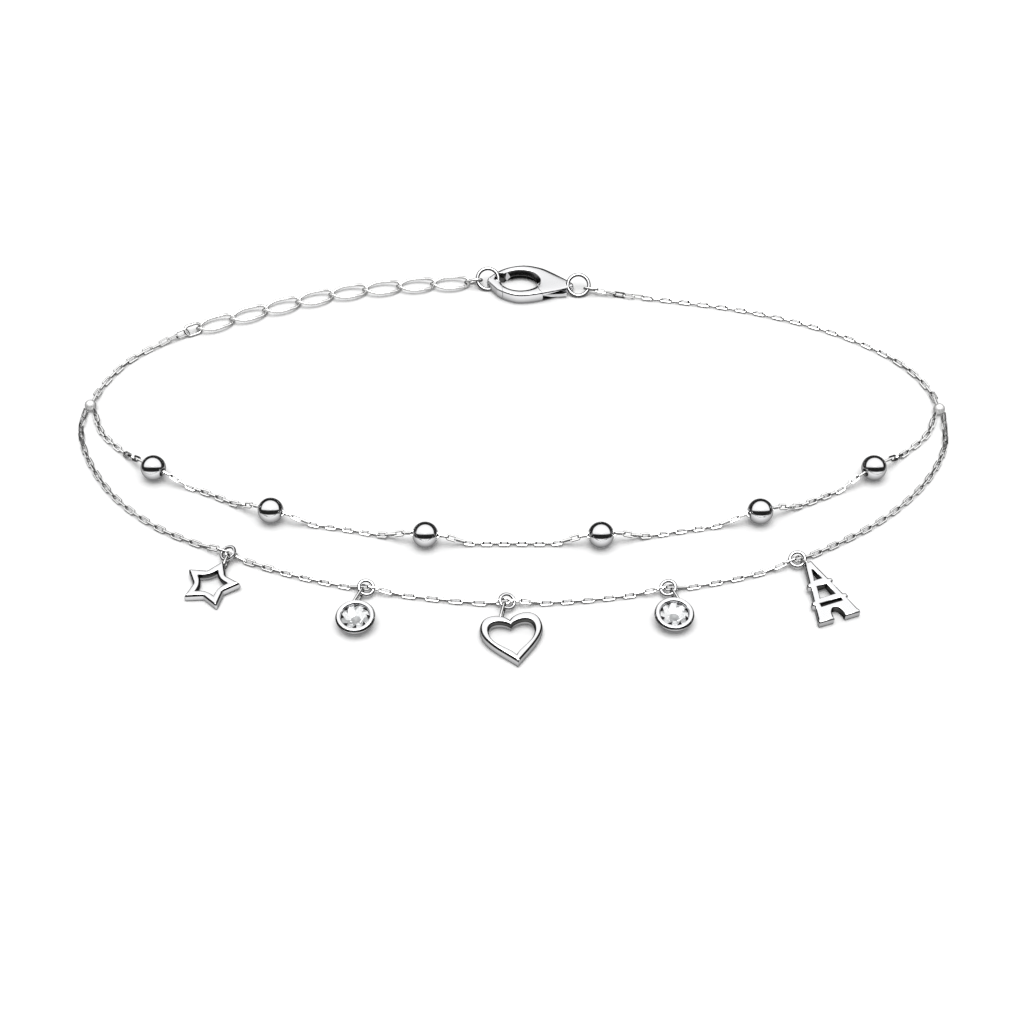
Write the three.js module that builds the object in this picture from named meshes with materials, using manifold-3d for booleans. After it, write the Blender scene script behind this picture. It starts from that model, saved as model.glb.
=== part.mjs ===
// Charm bracelet lying closed on a flat surface: two strands of fine chain in front, the inner one
// with six beads and the outer one with five charms on jump rings, joined at two small balls to a
// back chain with an extender of oval links and a lobster clasp.
// Millimetres, +Z up, the surface is Z = 0 and the charms lie towards -Y.

import * as THREE from 'three';
import { ParametricGeometry } from 'three/addons/geometries/ParametricGeometry.js';
import { ConvexGeometry } from 'three/addons/geometries/ConvexGeometry.js';
import { mergeVertices } from 'three/addons/utils/BufferGeometryUtils.js';
import Module from 'manifold-3d';

const wasm = await Module();
wasm.setup();

// ---- Driving dimensions --------------------------------------------------------------------

const SILVER = { color: 0xdcdddf, roughness: 0.12, metalness: 1 };
const CRYSTAL = { color: 0xf2f6f8, roughness: 0.04, metalness: 0 };

const SLACK = 0.11;            // play between a link and the wire that it holds
const CLEARANCE = 0.05;        // gap between pieces that fit together

// Fine chain: each strand is a tube of the chain's width, on stations a few widths apart.
const TUBE = { width: 0.5, sides: 8, step: 3.4 };
const OPEN_LINK = { length: 1.23, width: 0.66, wire: 0.166 };
const END_LINK = { length: 1.5, width: 0.8, wire: 0.2 };
const SMALL_LINK = { length: 1.9, width: 1.25, wire: 0.27 };
const OVAL_LINK = { length: 4.0, width: 2.0, wire: 0.27, twist: 42, point: 0.12, height: 0.43 };
const OVAL_LINKS = 8;
const SMALL_LINK_HEIGHT = 0.5;

const BEAD = { across: 2.25, hole: 0.76, rise: 2.5 };
const JUNCTION = { across: 1.06, height: 0.53 };
const STRAND_START = 0.65;     // from a junction's centre to the end of a strand
const JUNCTION_LIFT = 0.42;    // height of the strands where they meet a junction

// Rings of round wire: across is the outer diameter.
const CLASP_RING = { across: 2.43, wire: 0.36, slope: 40 };
const CHARM_RING = { across: 1.542, wire: 0.26, slope: 17, roll: 18 };

// A jump ring, the open link that it passes through and the charm's loop, from the strand's point:
// along the strand, out from it towards the charm, and up.
const RING_AT = { along: -0.1, out: 0.168, up: 0.734 };
const HELD_LINK_AT = { along: 0.551, up: 0.592, roll: 68.7, fade: 2.2 };
const LOOP_AT = { along: -0.377, out: 0.753, up: 0.653, yaw: 11.3 };
const LOOP = { width: 0.992, wire: 0.26 };

// Plan routes of the strands, from the left junction to the right one, and of the back chains.
const LEFT_BALL = [-38.95, 5.6];
const RIGHT_BALL = [39.4, 5.1];
const OUTER_ROUTE = [
  [-39.3, 5.2], [-39.4, 2.4], [-38.1, -1.5], [-35.2, -6.0], [-31.0, -9.7], [-25.8, -12.4],
  [-20.2, -14.8], [-14.2, -16.6], [-8.0, -17.8], [-1.5, -18.55], [5.0, -18.3], [11.3, -17.4],
  [17.3, -16.2], [22.8, -14.5], [28.0, -11.8], [32.8, -8.5], [36.8, -4.3], [39.2, 0.2], [39.75, 4.7],
];
const INNER_ROUTE = [
  [-38.6, 5.2], [-37.5, 2.3], [-35.2, -0.3], [-32.0, -3.2], [-26.9, -5.6], [-21.1, -8.5],
  [-14.5, -9.9], [-7.5, -11.4], [0.0, -11.6], [7.7, -11.4], [14.8, -10.1], [21.7, -8.6],
  [27.4, -6.1], [32.3, -3.2], [35.6, -0.4], [37.9, 2.0], [39.05, 4.7],
];
const BACK_RIGHT_ROUTE = [
  [15.0, 21.0], [21.5, 19.7], [26.8, 18.0], [31.5, 15.8], [35.2, 13.2], [37.7, 10.4],
  [39.0, 7.7], [39.4, 5.5],
];
const EXTENDER_ROUTE = [
  [-38.95, 6.0], [-38.1, 8.9], [-36.2, 12.1], [-33.2, 14.7], [-29.4, 16.9], [-23.2, 19.6],
  [-16.9, 21.8], [-10.4, 22.95], [-5.2, 23.4],
];
const BEAD_XS = [-32.0, -21.1, -7.5, 7.7, 21.7, 32.3];

// Lobster clasp, seen from above: a leaf-shaped body with an oval eye, and a gate along its near side.
const CLASP = { thickness: 1.15, bevel: 0.16 };
const CLASP_OUTLINE = [
  [-2.45, 22.95], [-2.0, 23.85], [-0.7, 24.88], [1.1, 25.34], [2.8, 24.98], [4.2, 24.2], [5.5, 23.27],
  [6.05, 22.65], [5.62, 22.12], [3.7, 21.18], [1.6, 20.62], [0.1, 20.68], [-1.5, 21.6],
];
const EYE = { x: 0.82, y: 23.0, halfLength: 1.94, halfWidth: 1.58 };
const POCKET = { x: -1.1, y: 23.42, radius: 0.5 };       // where the catch ring sits in the eye
const PIN = { x: 3.9, y: 22.0, radius: 0.24 };
const GATE = { inner: 1.38, outer: 4.86, below: 60, above: 3.5, swing: 22 };   // polar about the pin
const TONGUE = { thickness: 0.4, boss: 0.56, tabLength: 1.45, tabWidth: 0.34 };
const CATCH_RING_AT = [-2.37, 23.45];
const TAIL_RING_AT = [6.5, 22.5];
// Degrees towards the near side from a clasp ring's widest point to the link that holds it.
const CATCH_HOLD = 4;
const TAIL_HOLD = 20;

// Charms. The tilt raises the end that hangs on the ring.
const STAR = { tip: 2.5, tipRound: 0.3, valley: 1.5, holeTip: 1.38, holeArch: 0.72, thickness: 0.68 };
const HEART = { halfWidth: 2.635, notch: 1.69, tip: -2.9, band: 0.68, thickness: 0.8 };
const TOWER = { top: 0.85, length: 7.15, thickness: 0.76 };
const BEZEL = { across: 3.35, height: 1.15, foot: 2.1, mouth: 2.4, floor: 0.2, seat: 0.8 };
const STONE = { across: 2.34, table: 1.3, crown: 0.3, girdle: 0.05, pavilion: 0.5 };
const EDGE = 0.07;             // rounding of the cut-out charms' edges
const CHARMS = [
  { name: 'star_charm', body: star, x: -24.45, at: [-25.56, -16.65], turn: -20, tilt: 4, loop: 1.25,
    side: -1 },
  { name: 'bezel_1', body: bezel, x: -12.2, at: [-13.03, -20.6], turn: -15, tilt: 7, loop: 2.05,
    side: 1 },
  { name: 'heart_charm', body: heart, x: -0.3, at: [0.06, -22.53], turn: 9.2, tilt: 4, loop: 1.95,
    side: 1 },
  { name: 'bezel_2', body: bezel, x: 13.1, at: [13.53, -20.3], turn: 8, tilt: 7, loop: 1.7,
    side: -1 },
  { name: 'tower_charm', body: tower, x: 24.3, at: [24.95, -13.75], turn: 20, tilt: 4, loop: 1.0,
    side: -1 },
];

// ---- Solids --------------------------------------------------------------------------------

const degrees = THREE.MathUtils.degToRad;

// The manifold solid of a closed geometry.
function solid(geometry) {
  const bare = geometry.clone();
  bare.deleteAttribute('normal');
  bare.deleteAttribute('uv');
  const merged = mergeVertices(bare, 1e-5);
  const corners = merged.index.array;
  const kept = [];
  for (let i = 0; i < corners.length; i += 3) {
    const [a, b, c] = corners.slice(i, i + 3);
    if (a !== b && b !== c && c !== a) {
      kept.push(a, b, c);
    }
  }
  return new wasm.Manifold(new wasm.Mesh({
    numProp: 3,
    vertProperties: merged.attributes.position.array,
    triVerts: new Uint32Array(kept),
  }));
}

// The geometry of a manifold solid.
function geometryOf(manifold) {
  const mesh = manifold.getMesh();
  const geometry = new THREE.BufferGeometry();
  geometry.setAttribute('position', new THREE.BufferAttribute(mesh.vertProperties, 3));
  geometry.setIndex(new THREE.BufferAttribute(mesh.triVerts, 1));
  geometry.computeVertexNormals();
  return geometry;
}

// The sum of closed geometries.
function fuse(...geometries) {
  return geometryOf(geometries.map(solid).reduce((sum, part) => sum.add(part)));
}

// The first geometry without the others.
function cut(geometry, ...tools) {
  return geometryOf(tools.map(solid).reduce((rest, tool) => rest.subtract(tool), solid(geometry)));
}

function common(geometry, other) {
  return geometryOf(solid(geometry).intersect(solid(other)));
}

// A plate of an outline, from z = bottom, with its edges rounded by a bevel.
function plate(shape, bottom, thickness, bevel = 0, curveSegments = 6) {
  const geometry = new THREE.ExtrudeGeometry(shape, {
    depth: thickness - 2 * bevel,
    bevelEnabled: bevel > 0,
    bevelThickness: bevel,
    bevelSize: bevel,
    bevelOffset: -bevel,
    bevelSegments: 1,
    curveSegments,
  });
  return geometry.translate(0, 0, bottom + bevel);
}

// A closed loop of round wire in the XY plane. The centreline gives a point and its outward
// direction for each angle, and the wire's section turns from outward to up.
function wireLoop(centreline, wire, sides, phase = 0) {
  return new ParametricGeometry((u, v, target) => {
    const { point, outward } = centreline(((v % 1) * sides + phase) * 2 * Math.PI / sides);
    const section = -(u % 1) * 2 * Math.PI;
    target.set(
      point.x + wire / 2 * Math.cos(section) * outward.x,
      point.y + wire / 2 * Math.cos(section) * outward.y,
      wire / 2 * Math.sin(section),
    );
  }, 6, sides);
}

function ring({ across, wire }, sides = 16) {
  const radius = (across - wire) / 2;
  return wireLoop((angle) => {
    const outward = new THREE.Vector2(Math.cos(angle), Math.sin(angle));
    return { point: outward.clone().multiplyScalar(radius), outward };
  }, wire, sides);
}

// A link with straight sides and round ends, its length along X.
function straightLink({ length, width, wire }, sides = 12) {
  const radius = (width - wire) / 2;
  const halfStraight = (length - width) / 2;
  return wireLoop((angle) => {
    const outward = new THREE.Vector2(Math.cos(angle), Math.sin(angle));
    const point = outward.clone().multiplyScalar(radius);
    point.x += halfStraight * Math.sign(outward.x);
    return { point, outward };
  }, wire, sides, 0.5);
}

// An oval link with slightly pointed ends, twisted about its length as in a curb chain.
function ovalLink({ length, width, wire, twist, point: pointed }, sides = 16) {
  const a = (length - wire) / 2;
  const b = (width - wire) / 2;
  const geometry = wireLoop((angle) => {
    const [c, s] = [Math.cos(angle), Math.sin(angle)];
    const squeeze = 1 - pointed * c * c;
    const point = new THREE.Vector2(a * c, b * s * squeeze);
    const outward = new THREE.Vector2(b * c * (squeeze + 2 * pointed * s * s), a * s).normalize();
    return { point, outward };
  }, wire, sides);
  const position = geometry.attributes.position;
  const here = new THREE.Vector3();
  for (let i = 0; i < position.count; i++) {
    here.fromBufferAttribute(position, i);
    here.applyAxisAngle(new THREE.Vector3(1, 0, 0), degrees(twist) * here.x / a);
    position.setXYZ(i, here.x, here.y, here.z);
  }
  return geometry;
}

// Turns a flat link so that its length lies along one direction and its opening faces another.
function lay(geometry, centre, along, opening) {
  const z = opening.clone().addScaledVector(along, -opening.dot(along) / along.lengthSq()).normalize();
  const x = along.clone().normalize();
  const y = z.clone().cross(x);
  return geometry.applyMatrix4(new THREE.Matrix4().makeBasis(x, y, z).setPosition(centre));
}

// ---- Routes --------------------------------------------------------------------------------

// A strand's route: a smooth plan curve, raised by smooth bumps. A bump holds its height for
// `flat` on each side of its place and fades over `fade`.
class Route {
  constructor(points, bumps = []) {
    this.plan = new THREE.CatmullRomCurve3(
      points.map(([x, y]) => new THREE.Vector3(x, y, 0)), false, 'catmullrom', 0.5);
    this.plan.arcLengthDivisions = 1500;
    this.length = this.plan.getLength();
    this.bumps = bumps;
  }

  // Distance along the route to its point at x, or to its nearest point to [x, y].
  find(x, y) {
    let best = 0;
    let least = Infinity;
    for (let s = 0; s <= this.length; s += 0.02) {
      const p = this.plan.getPointAt(s / this.length);
      const off = Math.hypot(p.x - x, y === undefined ? 0 : p.y - y);
      if (off < least) {
        [best, least] = [s, off];
      }
    }
    return best;
  }

  point(s) {
    const p = this.plan.getPointAt(THREE.MathUtils.clamp(s / this.length, 0, 1));
    const lifts = this.bumps.map(({ at, height, flat, fade }) =>
      (height - TUBE.width / 2) * (1 - THREE.MathUtils.smoothstep(Math.abs(s - at), flat, flat + fade)));
    p.z = TUBE.width / 2 + Math.max(0, ...lifts);
    return p;
  }

  direction(s) {
    return this.point(s + 0.02).sub(this.point(s - 0.02)).normalize();
  }
}

// The part of a route between its first and last station, with one step from station to station.
class Stretch extends THREE.Curve {
  constructor(route, stations) {
    super();
    this.route = route;
    this.stations = stations;
  }

  station(u) {
    const last = this.stations.length - 1;
    const i = Math.min(Math.floor(u * last), last - 1);
    return THREE.MathUtils.lerp(this.stations[i], this.stations[i + 1], u * last - i);
  }

  getPoint(u) {
    return this.route.point(this.station(u));
  }

  getPointAt(u) {
    return this.getPoint(u);
  }

  getTangentAt(u) {
    return this.route.direction(this.station(u));
  }
}

// Stations from one distance to another: the ends, the places of the bumps between them and
// even steps in the gaps.
function stationsBetween(from, to, route) {
  const marks = route.bumps.flatMap(({ at, flat, fade }) =>
    [-flat - fade, -flat - fade / 2, -flat, flat, flat + fade / 2, flat + fade].map((d) => at + d));
  const kept = [from, ...marks.filter((s) => s > from + 0.5 && s < to - 0.5).sort((a, b) => a - b), to];
  return kept.flatMap((s, i) => {
    const next = kept[i + 1] ?? s;
    const count = Math.max(1, Math.round((next - s) / TUBE.step));
    const steps = Array.from({ length: count }, (_, k) => s + (next - s) * k / count);
    return i === kept.length - 1 ? [s] : steps;
  });
}

function tube(route, from, to) {
  const stations = stationsBetween(from, to, route);
  const radius = TUBE.width / 2 / Math.cos(Math.PI / TUBE.sides);
  const section = new THREE.Shape();
  for (let k = 0; k < TUBE.sides; k++) {
    const angle = (k + 0.5) * 2 * Math.PI / TUBE.sides;
    section[k ? 'lineTo' : 'moveTo'](radius * Math.cos(angle), radius * Math.sin(angle));
  }
  return new THREE.ExtrudeGeometry(section, {
    steps: stations.length - 1,
    extrudePath: new Stretch(route, stations),
  });
}

// ---- Clasp ---------------------------------------------------------------------------------

// A closed smooth outline through points.
function smoothOutline(points) {
  const curve = new THREE.CatmullRomCurve3(points.map(([x, y]) => new THREE.Vector3(x, y, 0)), true);
  const spaced = curve.getPoints(points.length * 3);
  return new THREE.Shape(spaced.slice(0, -1).map((p) => new THREE.Vector2(p.x, p.y)));
}

function circle(x, y, radius) {
  const shape = new THREE.Shape();
  shape.absarc(x, y, radius, 0, 2 * Math.PI);
  return shape;
}

// A ring sector about the clasp's pin, between two radii, from under the near side up to an angle
// above the gate's own direction.
function sectorAboutPin(inner, outer, above) {
  const shape = new THREE.Shape();
  const from = Math.PI - degrees(above);
  const to = Math.PI + degrees(GATE.below);
  shape.absarc(PIN.x, PIN.y, outer, from, to, false);
  shape.absarc(PIN.x, PIN.y, inner, to, from, true);
  return shape;
}

function eyeTool(height) {
  const eye = new THREE.Shape();
  eye.absellipse(EYE.x, EYE.y, EYE.halfLength, EYE.halfWidth, 0, 2 * Math.PI);
  return fuse(
    plate(eye, -1, height + 2, 0, 24),
    plate(circle(POCKET.x, POCKET.y, POCKET.radius), -1, height + 2, 0, 12),
  );
}

// The clasp's whole leaf with its eye, before it is parted into body and gate.
function claspLeaf() {
  const leaf = plate(smoothOutline(CLASP_OUTLINE), 0, CLASP.thickness, CLASP.bevel);
  return cut(leaf, eyeTool(CLASP.thickness));
}

// A ring of wire sloped about X, its far side high and its lowest point on the surface.
function claspRingAt([x, y], { across, wire, slope }) {
  const up = wire / 2 + (across - wire) / 2 * Math.sin(degrees(slope));
  return new THREE.Matrix4().makeRotationX(degrees(slope)).setPosition(x, y, up);
}

// The room that a clasp ring needs where it passes through the metal.
function ringRelief(at) {
  const room = { across: CLASP_RING.across + 2 * CLEARANCE, wire: CLASP_RING.wire + 2 * CLEARANCE };
  return ring(room, 20).applyMatrix4(claspRingAt(at, CLASP_RING));
}

function slotOutline() {
  const slot = new THREE.Shape();
  slot.moveTo(PIN.x - 1.5, PIN.y + 0.85);
  slot.lineTo(PIN.x, PIN.y + 0.68);
  slot.lineTo(PIN.x + 0.75, PIN.y + 0.5);
  slot.lineTo(PIN.x + TONGUE.tabLength + 0.12, PIN.y + 0.12);
  slot.lineTo(PIN.x + TONGUE.tabLength + 0.12, PIN.y - 2);
  slot.lineTo(PIN.x - 1.5, PIN.y - 2);
  return slot;
}

function claspBody() {
  const middle = CLASP.thickness / 2;
  const gateRoom = sectorAboutPin(GATE.inner - CLEARANCE, GATE.outer + CLEARANCE, GATE.swing);
  const slotHeight = TONGUE.thickness + 2 * CLEARANCE;
  const body = cut(
    claspLeaf(),
    plate(gateRoom, -1, CLASP.thickness + 2, 0, 12),
    plate(slotOutline(), middle - slotHeight / 2, slotHeight),
    ringRelief(CATCH_RING_AT),
    ringRelief(TAIL_RING_AT),
  );
  const pin = plate(circle(PIN.x, PIN.y, PIN.radius), 0.15, CLASP.thickness - 0.3, 0, 10);
  return fuse(body, pin);
}

// The gate of the clasp's full thickness, and the thin tongue that turns on the pin and ends in
// the thumb tab.
function claspLever() {
  const middle = CLASP.thickness / 2;
  const gate = common(
    claspLeaf(),
    plate(sectorAboutPin(GATE.inner, GATE.outer, GATE.above), -1, CLASP.thickness + 2, 0, 12),
  );
  const tongue = new THREE.Shape();
  const reach = GATE.inner + 0.35;
  const back = PIN.y - 0.55;
  tongue.moveTo(PIN.x - reach, back - 0.05);
  tongue.lineTo(PIN.x, PIN.y - TONGUE.boss);
  tongue.lineTo(PIN.x + TONGUE.tabLength, PIN.y - 0.1 - TONGUE.tabWidth);
  tongue.lineTo(PIN.x + TONGUE.tabLength, PIN.y - 0.1);
  tongue.lineTo(PIN.x + 0.4, PIN.y + 0.38);
  tongue.absarc(PIN.x, PIN.y, TONGUE.boss, degrees(45), degrees(135), false);
  tongue.lineTo(PIN.x - reach, PIN.y + 0.02);
  tongue.holes.push(circle(PIN.x, PIN.y, PIN.radius + CLEARANCE));
  return fuse(gate, plate(tongue, middle - TONGUE.thickness / 2, TONGUE.thickness, 0, 12));
}

// ---- Charms --------------------------------------------------------------------------------
// Each charm's body lies face up with its top towards +Y and its back at z = 0.

function star() {
  const shape = new THREE.Shape();
  const hole = new THREE.Path();
  const polar = (radius, angle) => new THREE.Vector2(radius, 0).rotateAround(new THREE.Vector2(), angle);
  for (let k = 0; k < 5; k++) {
    const toTip = Math.PI / 2 + k * 2 * Math.PI / 5;
    const tip = polar(STAR.tip + STAR.tipRound / 2, toTip);
    const before = polar(STAR.valley, toTip - Math.PI / 5);
    const after = polar(STAR.valley, toTip + Math.PI / 5);
    const start = tip.clone().lerp(before, STAR.tipRound / tip.distanceTo(before));
    const end = tip.clone().lerp(after, STAR.tipRound / tip.distanceTo(after));
    shape[k ? 'lineTo' : 'moveTo'](start.x, start.y);
    shape.quadraticCurveTo(tip.x, tip.y, end.x, end.y);
    shape.lineTo(after.x, after.y);

    const corner = polar(STAR.holeTip, toTip);
    const arch = polar(STAR.holeArch, toTip + Math.PI / 5);
    const nextCorner = polar(STAR.holeTip, toTip + 2 * Math.PI / 5);
    if (k === 0) {
      hole.moveTo(corner.x, corner.y);
    }
    hole.quadraticCurveTo(arch.x, arch.y, nextCorner.x, nextCorner.y);
  }
  shape.holes.push(hole);
  return plate(shape, 0, STAR.thickness, EDGE, 4);
}

// One heart outline from its notch down the left side to the tip, and back up the right side.
function heartOutline(path, halfWidth, notch, tip, widest) {
  const lobe = notch + 0.62 * (halfWidth / HEART.halfWidth);
  path.moveTo(0, notch);
  path.bezierCurveTo(-0.22 * halfWidth, lobe + 0.12, -halfWidth, lobe + 0.42, -halfWidth, widest);
  path.bezierCurveTo(-halfWidth, widest - 1.35, -0.26 * halfWidth, tip + 0.85, 0, tip);
  path.bezierCurveTo(0.26 * halfWidth, tip + 0.85, halfWidth, widest - 1.35, halfWidth, widest);
  path.bezierCurveTo(halfWidth, lobe + 0.42, 0.22 * halfWidth, lobe + 0.12, 0, notch);
  return path;
}

function heart() {
  const { halfWidth, notch, tip, band, thickness } = HEART;
  const shape = heartOutline(new THREE.Shape(), halfWidth, notch, tip, 0.75);
  const inNotch = notch - 1.08 * band;
  const inTip = tip + 1.32 * band;
  shape.holes.push(heartOutline(new THREE.Path(), halfWidth - band, inNotch, inTip, 0.6));
  return plate(shape, 0, thickness, EDGE, 8);
}

// The lattice tower, from its top down: half widths at heights below the top.
function tower() {
  const { top, length, thickness } = TOWER;
  const flank = [
    [0.31, top], [0.56, 1.9], [0.86, 3.02], [1.12, 3.08], [1.16, 3.36], [0.96, 3.46], [1.34, 4.9],
    [1.6, 4.98], [1.64, 5.28], [1.46, 5.38], [1.8, 6.75], [1.9, 6.88], [1.88, length], [0.5, length],
  ];
  const shape = new THREE.Shape();
  flank.forEach(([x, down], i) => shape[i ? 'lineTo' : 'moveTo'](-x, -down));
  shape.bezierCurveTo(-0.5, -6.35, -0.3, -6.05, 0, -6.05);
  shape.bezierCurveTo(0.3, -6.05, 0.5, -6.35, 0.5, -length);
  [...flank].reverse().slice(1).forEach(([x, down]) => shape.lineTo(x, -down));
  const windows = [
    [[0, 1.5], [0.31, 2.82]],
    [[0.43, 3.58], [0.66, 4.72]],
    [[0.97, 5.3], [0.93, 5.56]],
  ];
  for (const side of windows) {
    const window = new THREE.Path();
    side.forEach(([x, down], i) => window[i ? 'lineTo' : 'moveTo'](-x, -down));
    [...side].reverse().filter(([x]) => x > 0).forEach(([x, down]) => window.lineTo(x, -down));
    shape.holes.push(window);
  }
  return plate(shape, 0, thickness, EDGE, 5);
}

// A setting turned about its axis: a cup with a ledge that the stone's girdle rests over.
function bezel() {
  const rim = BEZEL.across / 2;
  const mouth = BEZEL.mouth / 2;
  const profile = [
    [0, 0], [BEZEL.foot / 2, 0], [rim - 0.28, 0.38], [rim - 0.06, 0.8], [rim, BEZEL.height - 0.12],
    [rim - 0.09, BEZEL.height], [mouth + 0.04, BEZEL.height], [mouth, BEZEL.height - 0.05],
    [mouth, BEZEL.seat], [mouth - 0.24, BEZEL.seat - 0.16], [0.4, BEZEL.floor], [0, BEZEL.floor],
  ];
  const cup = new THREE.LatheGeometry(profile.map(([r, z]) => new THREE.Vector2(r, z)), 24);
  return cup.rotateX(Math.PI / 2);
}

// A round brilliant: an eight-sided table, crown and pavilion facets, and a point below.
function stone() {
  const ringOf = (count, radius, z, shift = 0) => Array.from({ length: count }, (_, k) => {
    const angle = (k + shift) * 2 * Math.PI / count;
    return new THREE.Vector3(radius * Math.cos(angle), radius * Math.sin(angle), z);
  });
  const radius = STONE.across / 2;
  const points = [
    ...ringOf(8, STONE.table / 2, STONE.crown),
    ...ringOf(8, radius * 0.83, STONE.crown * 0.5, 0.5),
    ...ringOf(16, radius, 0),
    ...ringOf(16, radius, -STONE.girdle),
    ...ringOf(8, radius * 0.45, -STONE.girdle - STONE.pavilion * 0.62),
    new THREE.Vector3(0, 0, -STONE.girdle - STONE.pavilion),
  ];
  return new ConvexGeometry(points);
}

// ---- The bracelet --------------------------------------------------------------------------

const bracelet = new THREE.Group();

function add(name, geometry, material = SILVER) {
  const mesh = new THREE.Mesh(geometry, new THREE.MeshStandardMaterial(material));
  mesh.name = name;
  bracelet.add(mesh);
  return mesh;
}

const junctionBump = (at) => ({ at, height: JUNCTION_LIFT, flat: 0.8, fade: 1.8 });

// The outer strand, raised at each link that holds a charm's ring.
const outer = new Route(OUTER_ROUTE);
const held = CHARMS.map(({ x, side }) => outer.find(x) + side * HELD_LINK_AT.along);
outer.bumps = [
  junctionBump(0),
  ...held.map((at) => ({ at, height: HELD_LINK_AT.up, flat: 0.3, fade: HELD_LINK_AT.fade })),
  junctionBump(outer.length),
];
const openInner = OPEN_LINK.length / 2 - OPEN_LINK.wire;
const outerPieces = held.map((at) => {
  const roll = degrees(HELD_LINK_AT.roll);
  const along = outer.direction(at);
  const out = new THREE.Vector3(along.y, -along.x, 0).normalize();
  const across = out.clone().multiplyScalar(Math.cos(roll)).add(new THREE.Vector3(0, 0, Math.sin(roll)));
  return lay(straightLink(OPEN_LINK), outer.point(at), along, along.clone().cross(across));
});
const outerEnds = [STRAND_START - 0.4, ...held.flatMap((at) => [at - openInner, at + openInner]),
  outer.length - STRAND_START + 0.4];
for (let k = 0; k < outerEnds.length; k += 2) {
  outerPieces.push(tube(outer, outerEnds[k], outerEnds[k + 1]));
}
add('outer_strand', fuse(...outerPieces));

// The inner strand, raised to the middle of each bead.
const inner = new Route(INNER_ROUTE);
const beadPlaces = BEAD_XS.map((x) => inner.find(x));
inner.bumps = [
  junctionBump(0),
  ...beadPlaces.map((at) => ({ at, height: BEAD.across / 2, flat: BEAD.across / 2, fade: BEAD.rise })),
  junctionBump(inner.length),
];
add('inner_strand', tube(inner, STRAND_START - 0.4, inner.length - STRAND_START + 0.4));

// Beads drilled along the strand.
const beadAngle = Math.asin(BEAD.hole / BEAD.across);
const beadProfile = Array.from({ length: 9 }, (_, k) => {
  const angle = beadAngle + (Math.PI - 2 * beadAngle) * k / 8;
  return new THREE.Vector2(BEAD.across / 2 * Math.sin(angle), -BEAD.across / 2 * Math.cos(angle));
});
beadProfile.push(beadProfile[0].clone());
beadPlaces.forEach((at, i) => {
  const bead = add(`bead_${i + 1}`, new THREE.LatheGeometry(beadProfile, 16));
  bead.position.copy(inner.point(at));
  bead.quaternion.setFromUnitVectors(new THREE.Vector3(0, 1, 0), inner.direction(at));
});

for (const [name, [x, y]] of [['junction_left', LEFT_BALL], ['junction_right', RIGHT_BALL]]) {
  const ball = add(name, new THREE.SphereGeometry(JUNCTION.across / 2, 14, 10));
  ball.position.set(x, y, JUNCTION.height);
}

// Clasp and its two rings.
add('clasp_body', claspBody());
add('clasp_lever', claspLever());
add('catch_ring', ring(CLASP_RING)).applyMatrix4(claspRingAt(CATCH_RING_AT, CLASP_RING));
add('clasp_ring', ring(CLASP_RING)).applyMatrix4(claspRingAt(TAIL_RING_AT, CLASP_RING));

// Where a link holds a clasp ring, on the ring's near-left or near-right, and the wire's direction.
function holdOf(at, side, turn) {
  const angle = degrees(-turn);
  const place = claspRingAt(at, CLASP_RING);
  const outward = new THREE.Vector3(side * Math.cos(angle), Math.sin(angle), 0);
  const wire = new THREE.Vector3(-side * Math.sin(angle), Math.cos(angle), 0).transformDirection(place);
  const point = outward.multiplyScalar((CLASP_RING.across - CLASP_RING.wire) / 2).applyMatrix4(place);
  return { point, wire };
}
const innerHalf = ({ length, wire }) => length / 2 - wire;

// The back chain, from the clasp's ring to the right junction.
const tailHold = holdOf(TAIL_RING_AT, 1, TAIL_HOLD);
const backRight = new Route([[tailHold.point.x, tailHold.point.y], ...BACK_RIGHT_ROUTE]);
const endLinkAt = innerHalf(END_LINK) - CLASP_RING.wire / 2 - SLACK;
backRight.bumps = [
  { at: endLinkAt, height: tailHold.point.z, flat: 0.6, fade: 2.4 },
  junctionBump(backRight.length),
];
add('back_chain_right', fuse(
  lay(straightLink(END_LINK), backRight.point(endLinkAt), backRight.direction(endLinkAt), tailHold.wire),
  tube(backRight, endLinkAt + innerHalf(END_LINK), backRight.length - STRAND_START + 0.4),
));

// The extender, counted back from the catch ring: a small link, the oval links, a small link and
// the end of the left back chain.
const catchHold = holdOf(CATCH_RING_AT, -1, CATCH_HOLD);
const catchHeight = (catchHold.point.z + OVAL_LINK.height) / 2;
const extender = new Route([...EXTENDER_ROUTE, [catchHold.point.x, catchHold.point.y]]);
let place = extender.length - (innerHalf(SMALL_LINK) - CLASP_RING.wire / 2 - SLACK);
const flatAt = (s, height) => extender.point(s).setZ(height);
const twistedWire = (side, along) => {
  const turn = side * degrees(OVAL_LINK.twist);
  const across = new THREE.Vector3(-along.y, along.x, 0).multiplyScalar(Math.cos(turn));
  return across.add(new THREE.Vector3(0, 0, Math.sin(turn)));
};
const pull = extender.direction(place).multiplyScalar(2 * innerHalf(SMALL_LINK));
pull.z = catchHold.point.z - OVAL_LINK.height;
add('extender_link_10', lay(
  straightLink(SMALL_LINK), flatAt(place, catchHeight), pull, catchHold.wire));
place -= innerHalf(SMALL_LINK) + innerHalf(OVAL_LINK) - SLACK;
for (let k = OVAL_LINKS; k > 0; k--) {
  const up = new THREE.Vector3(0, 0, 1);
  const number = String(k + 1).padStart(2, '0');
  add(`extender_link_${number}`, lay(
    ovalLink(OVAL_LINK), flatAt(place, OVAL_LINK.height), extender.direction(place), up));
  place -= (k > 1 ? innerHalf(OVAL_LINK) : innerHalf(SMALL_LINK)) + innerHalf(OVAL_LINK) - SLACK;
}
const leftWire = twistedWire(-1, extender.direction(place));
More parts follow.
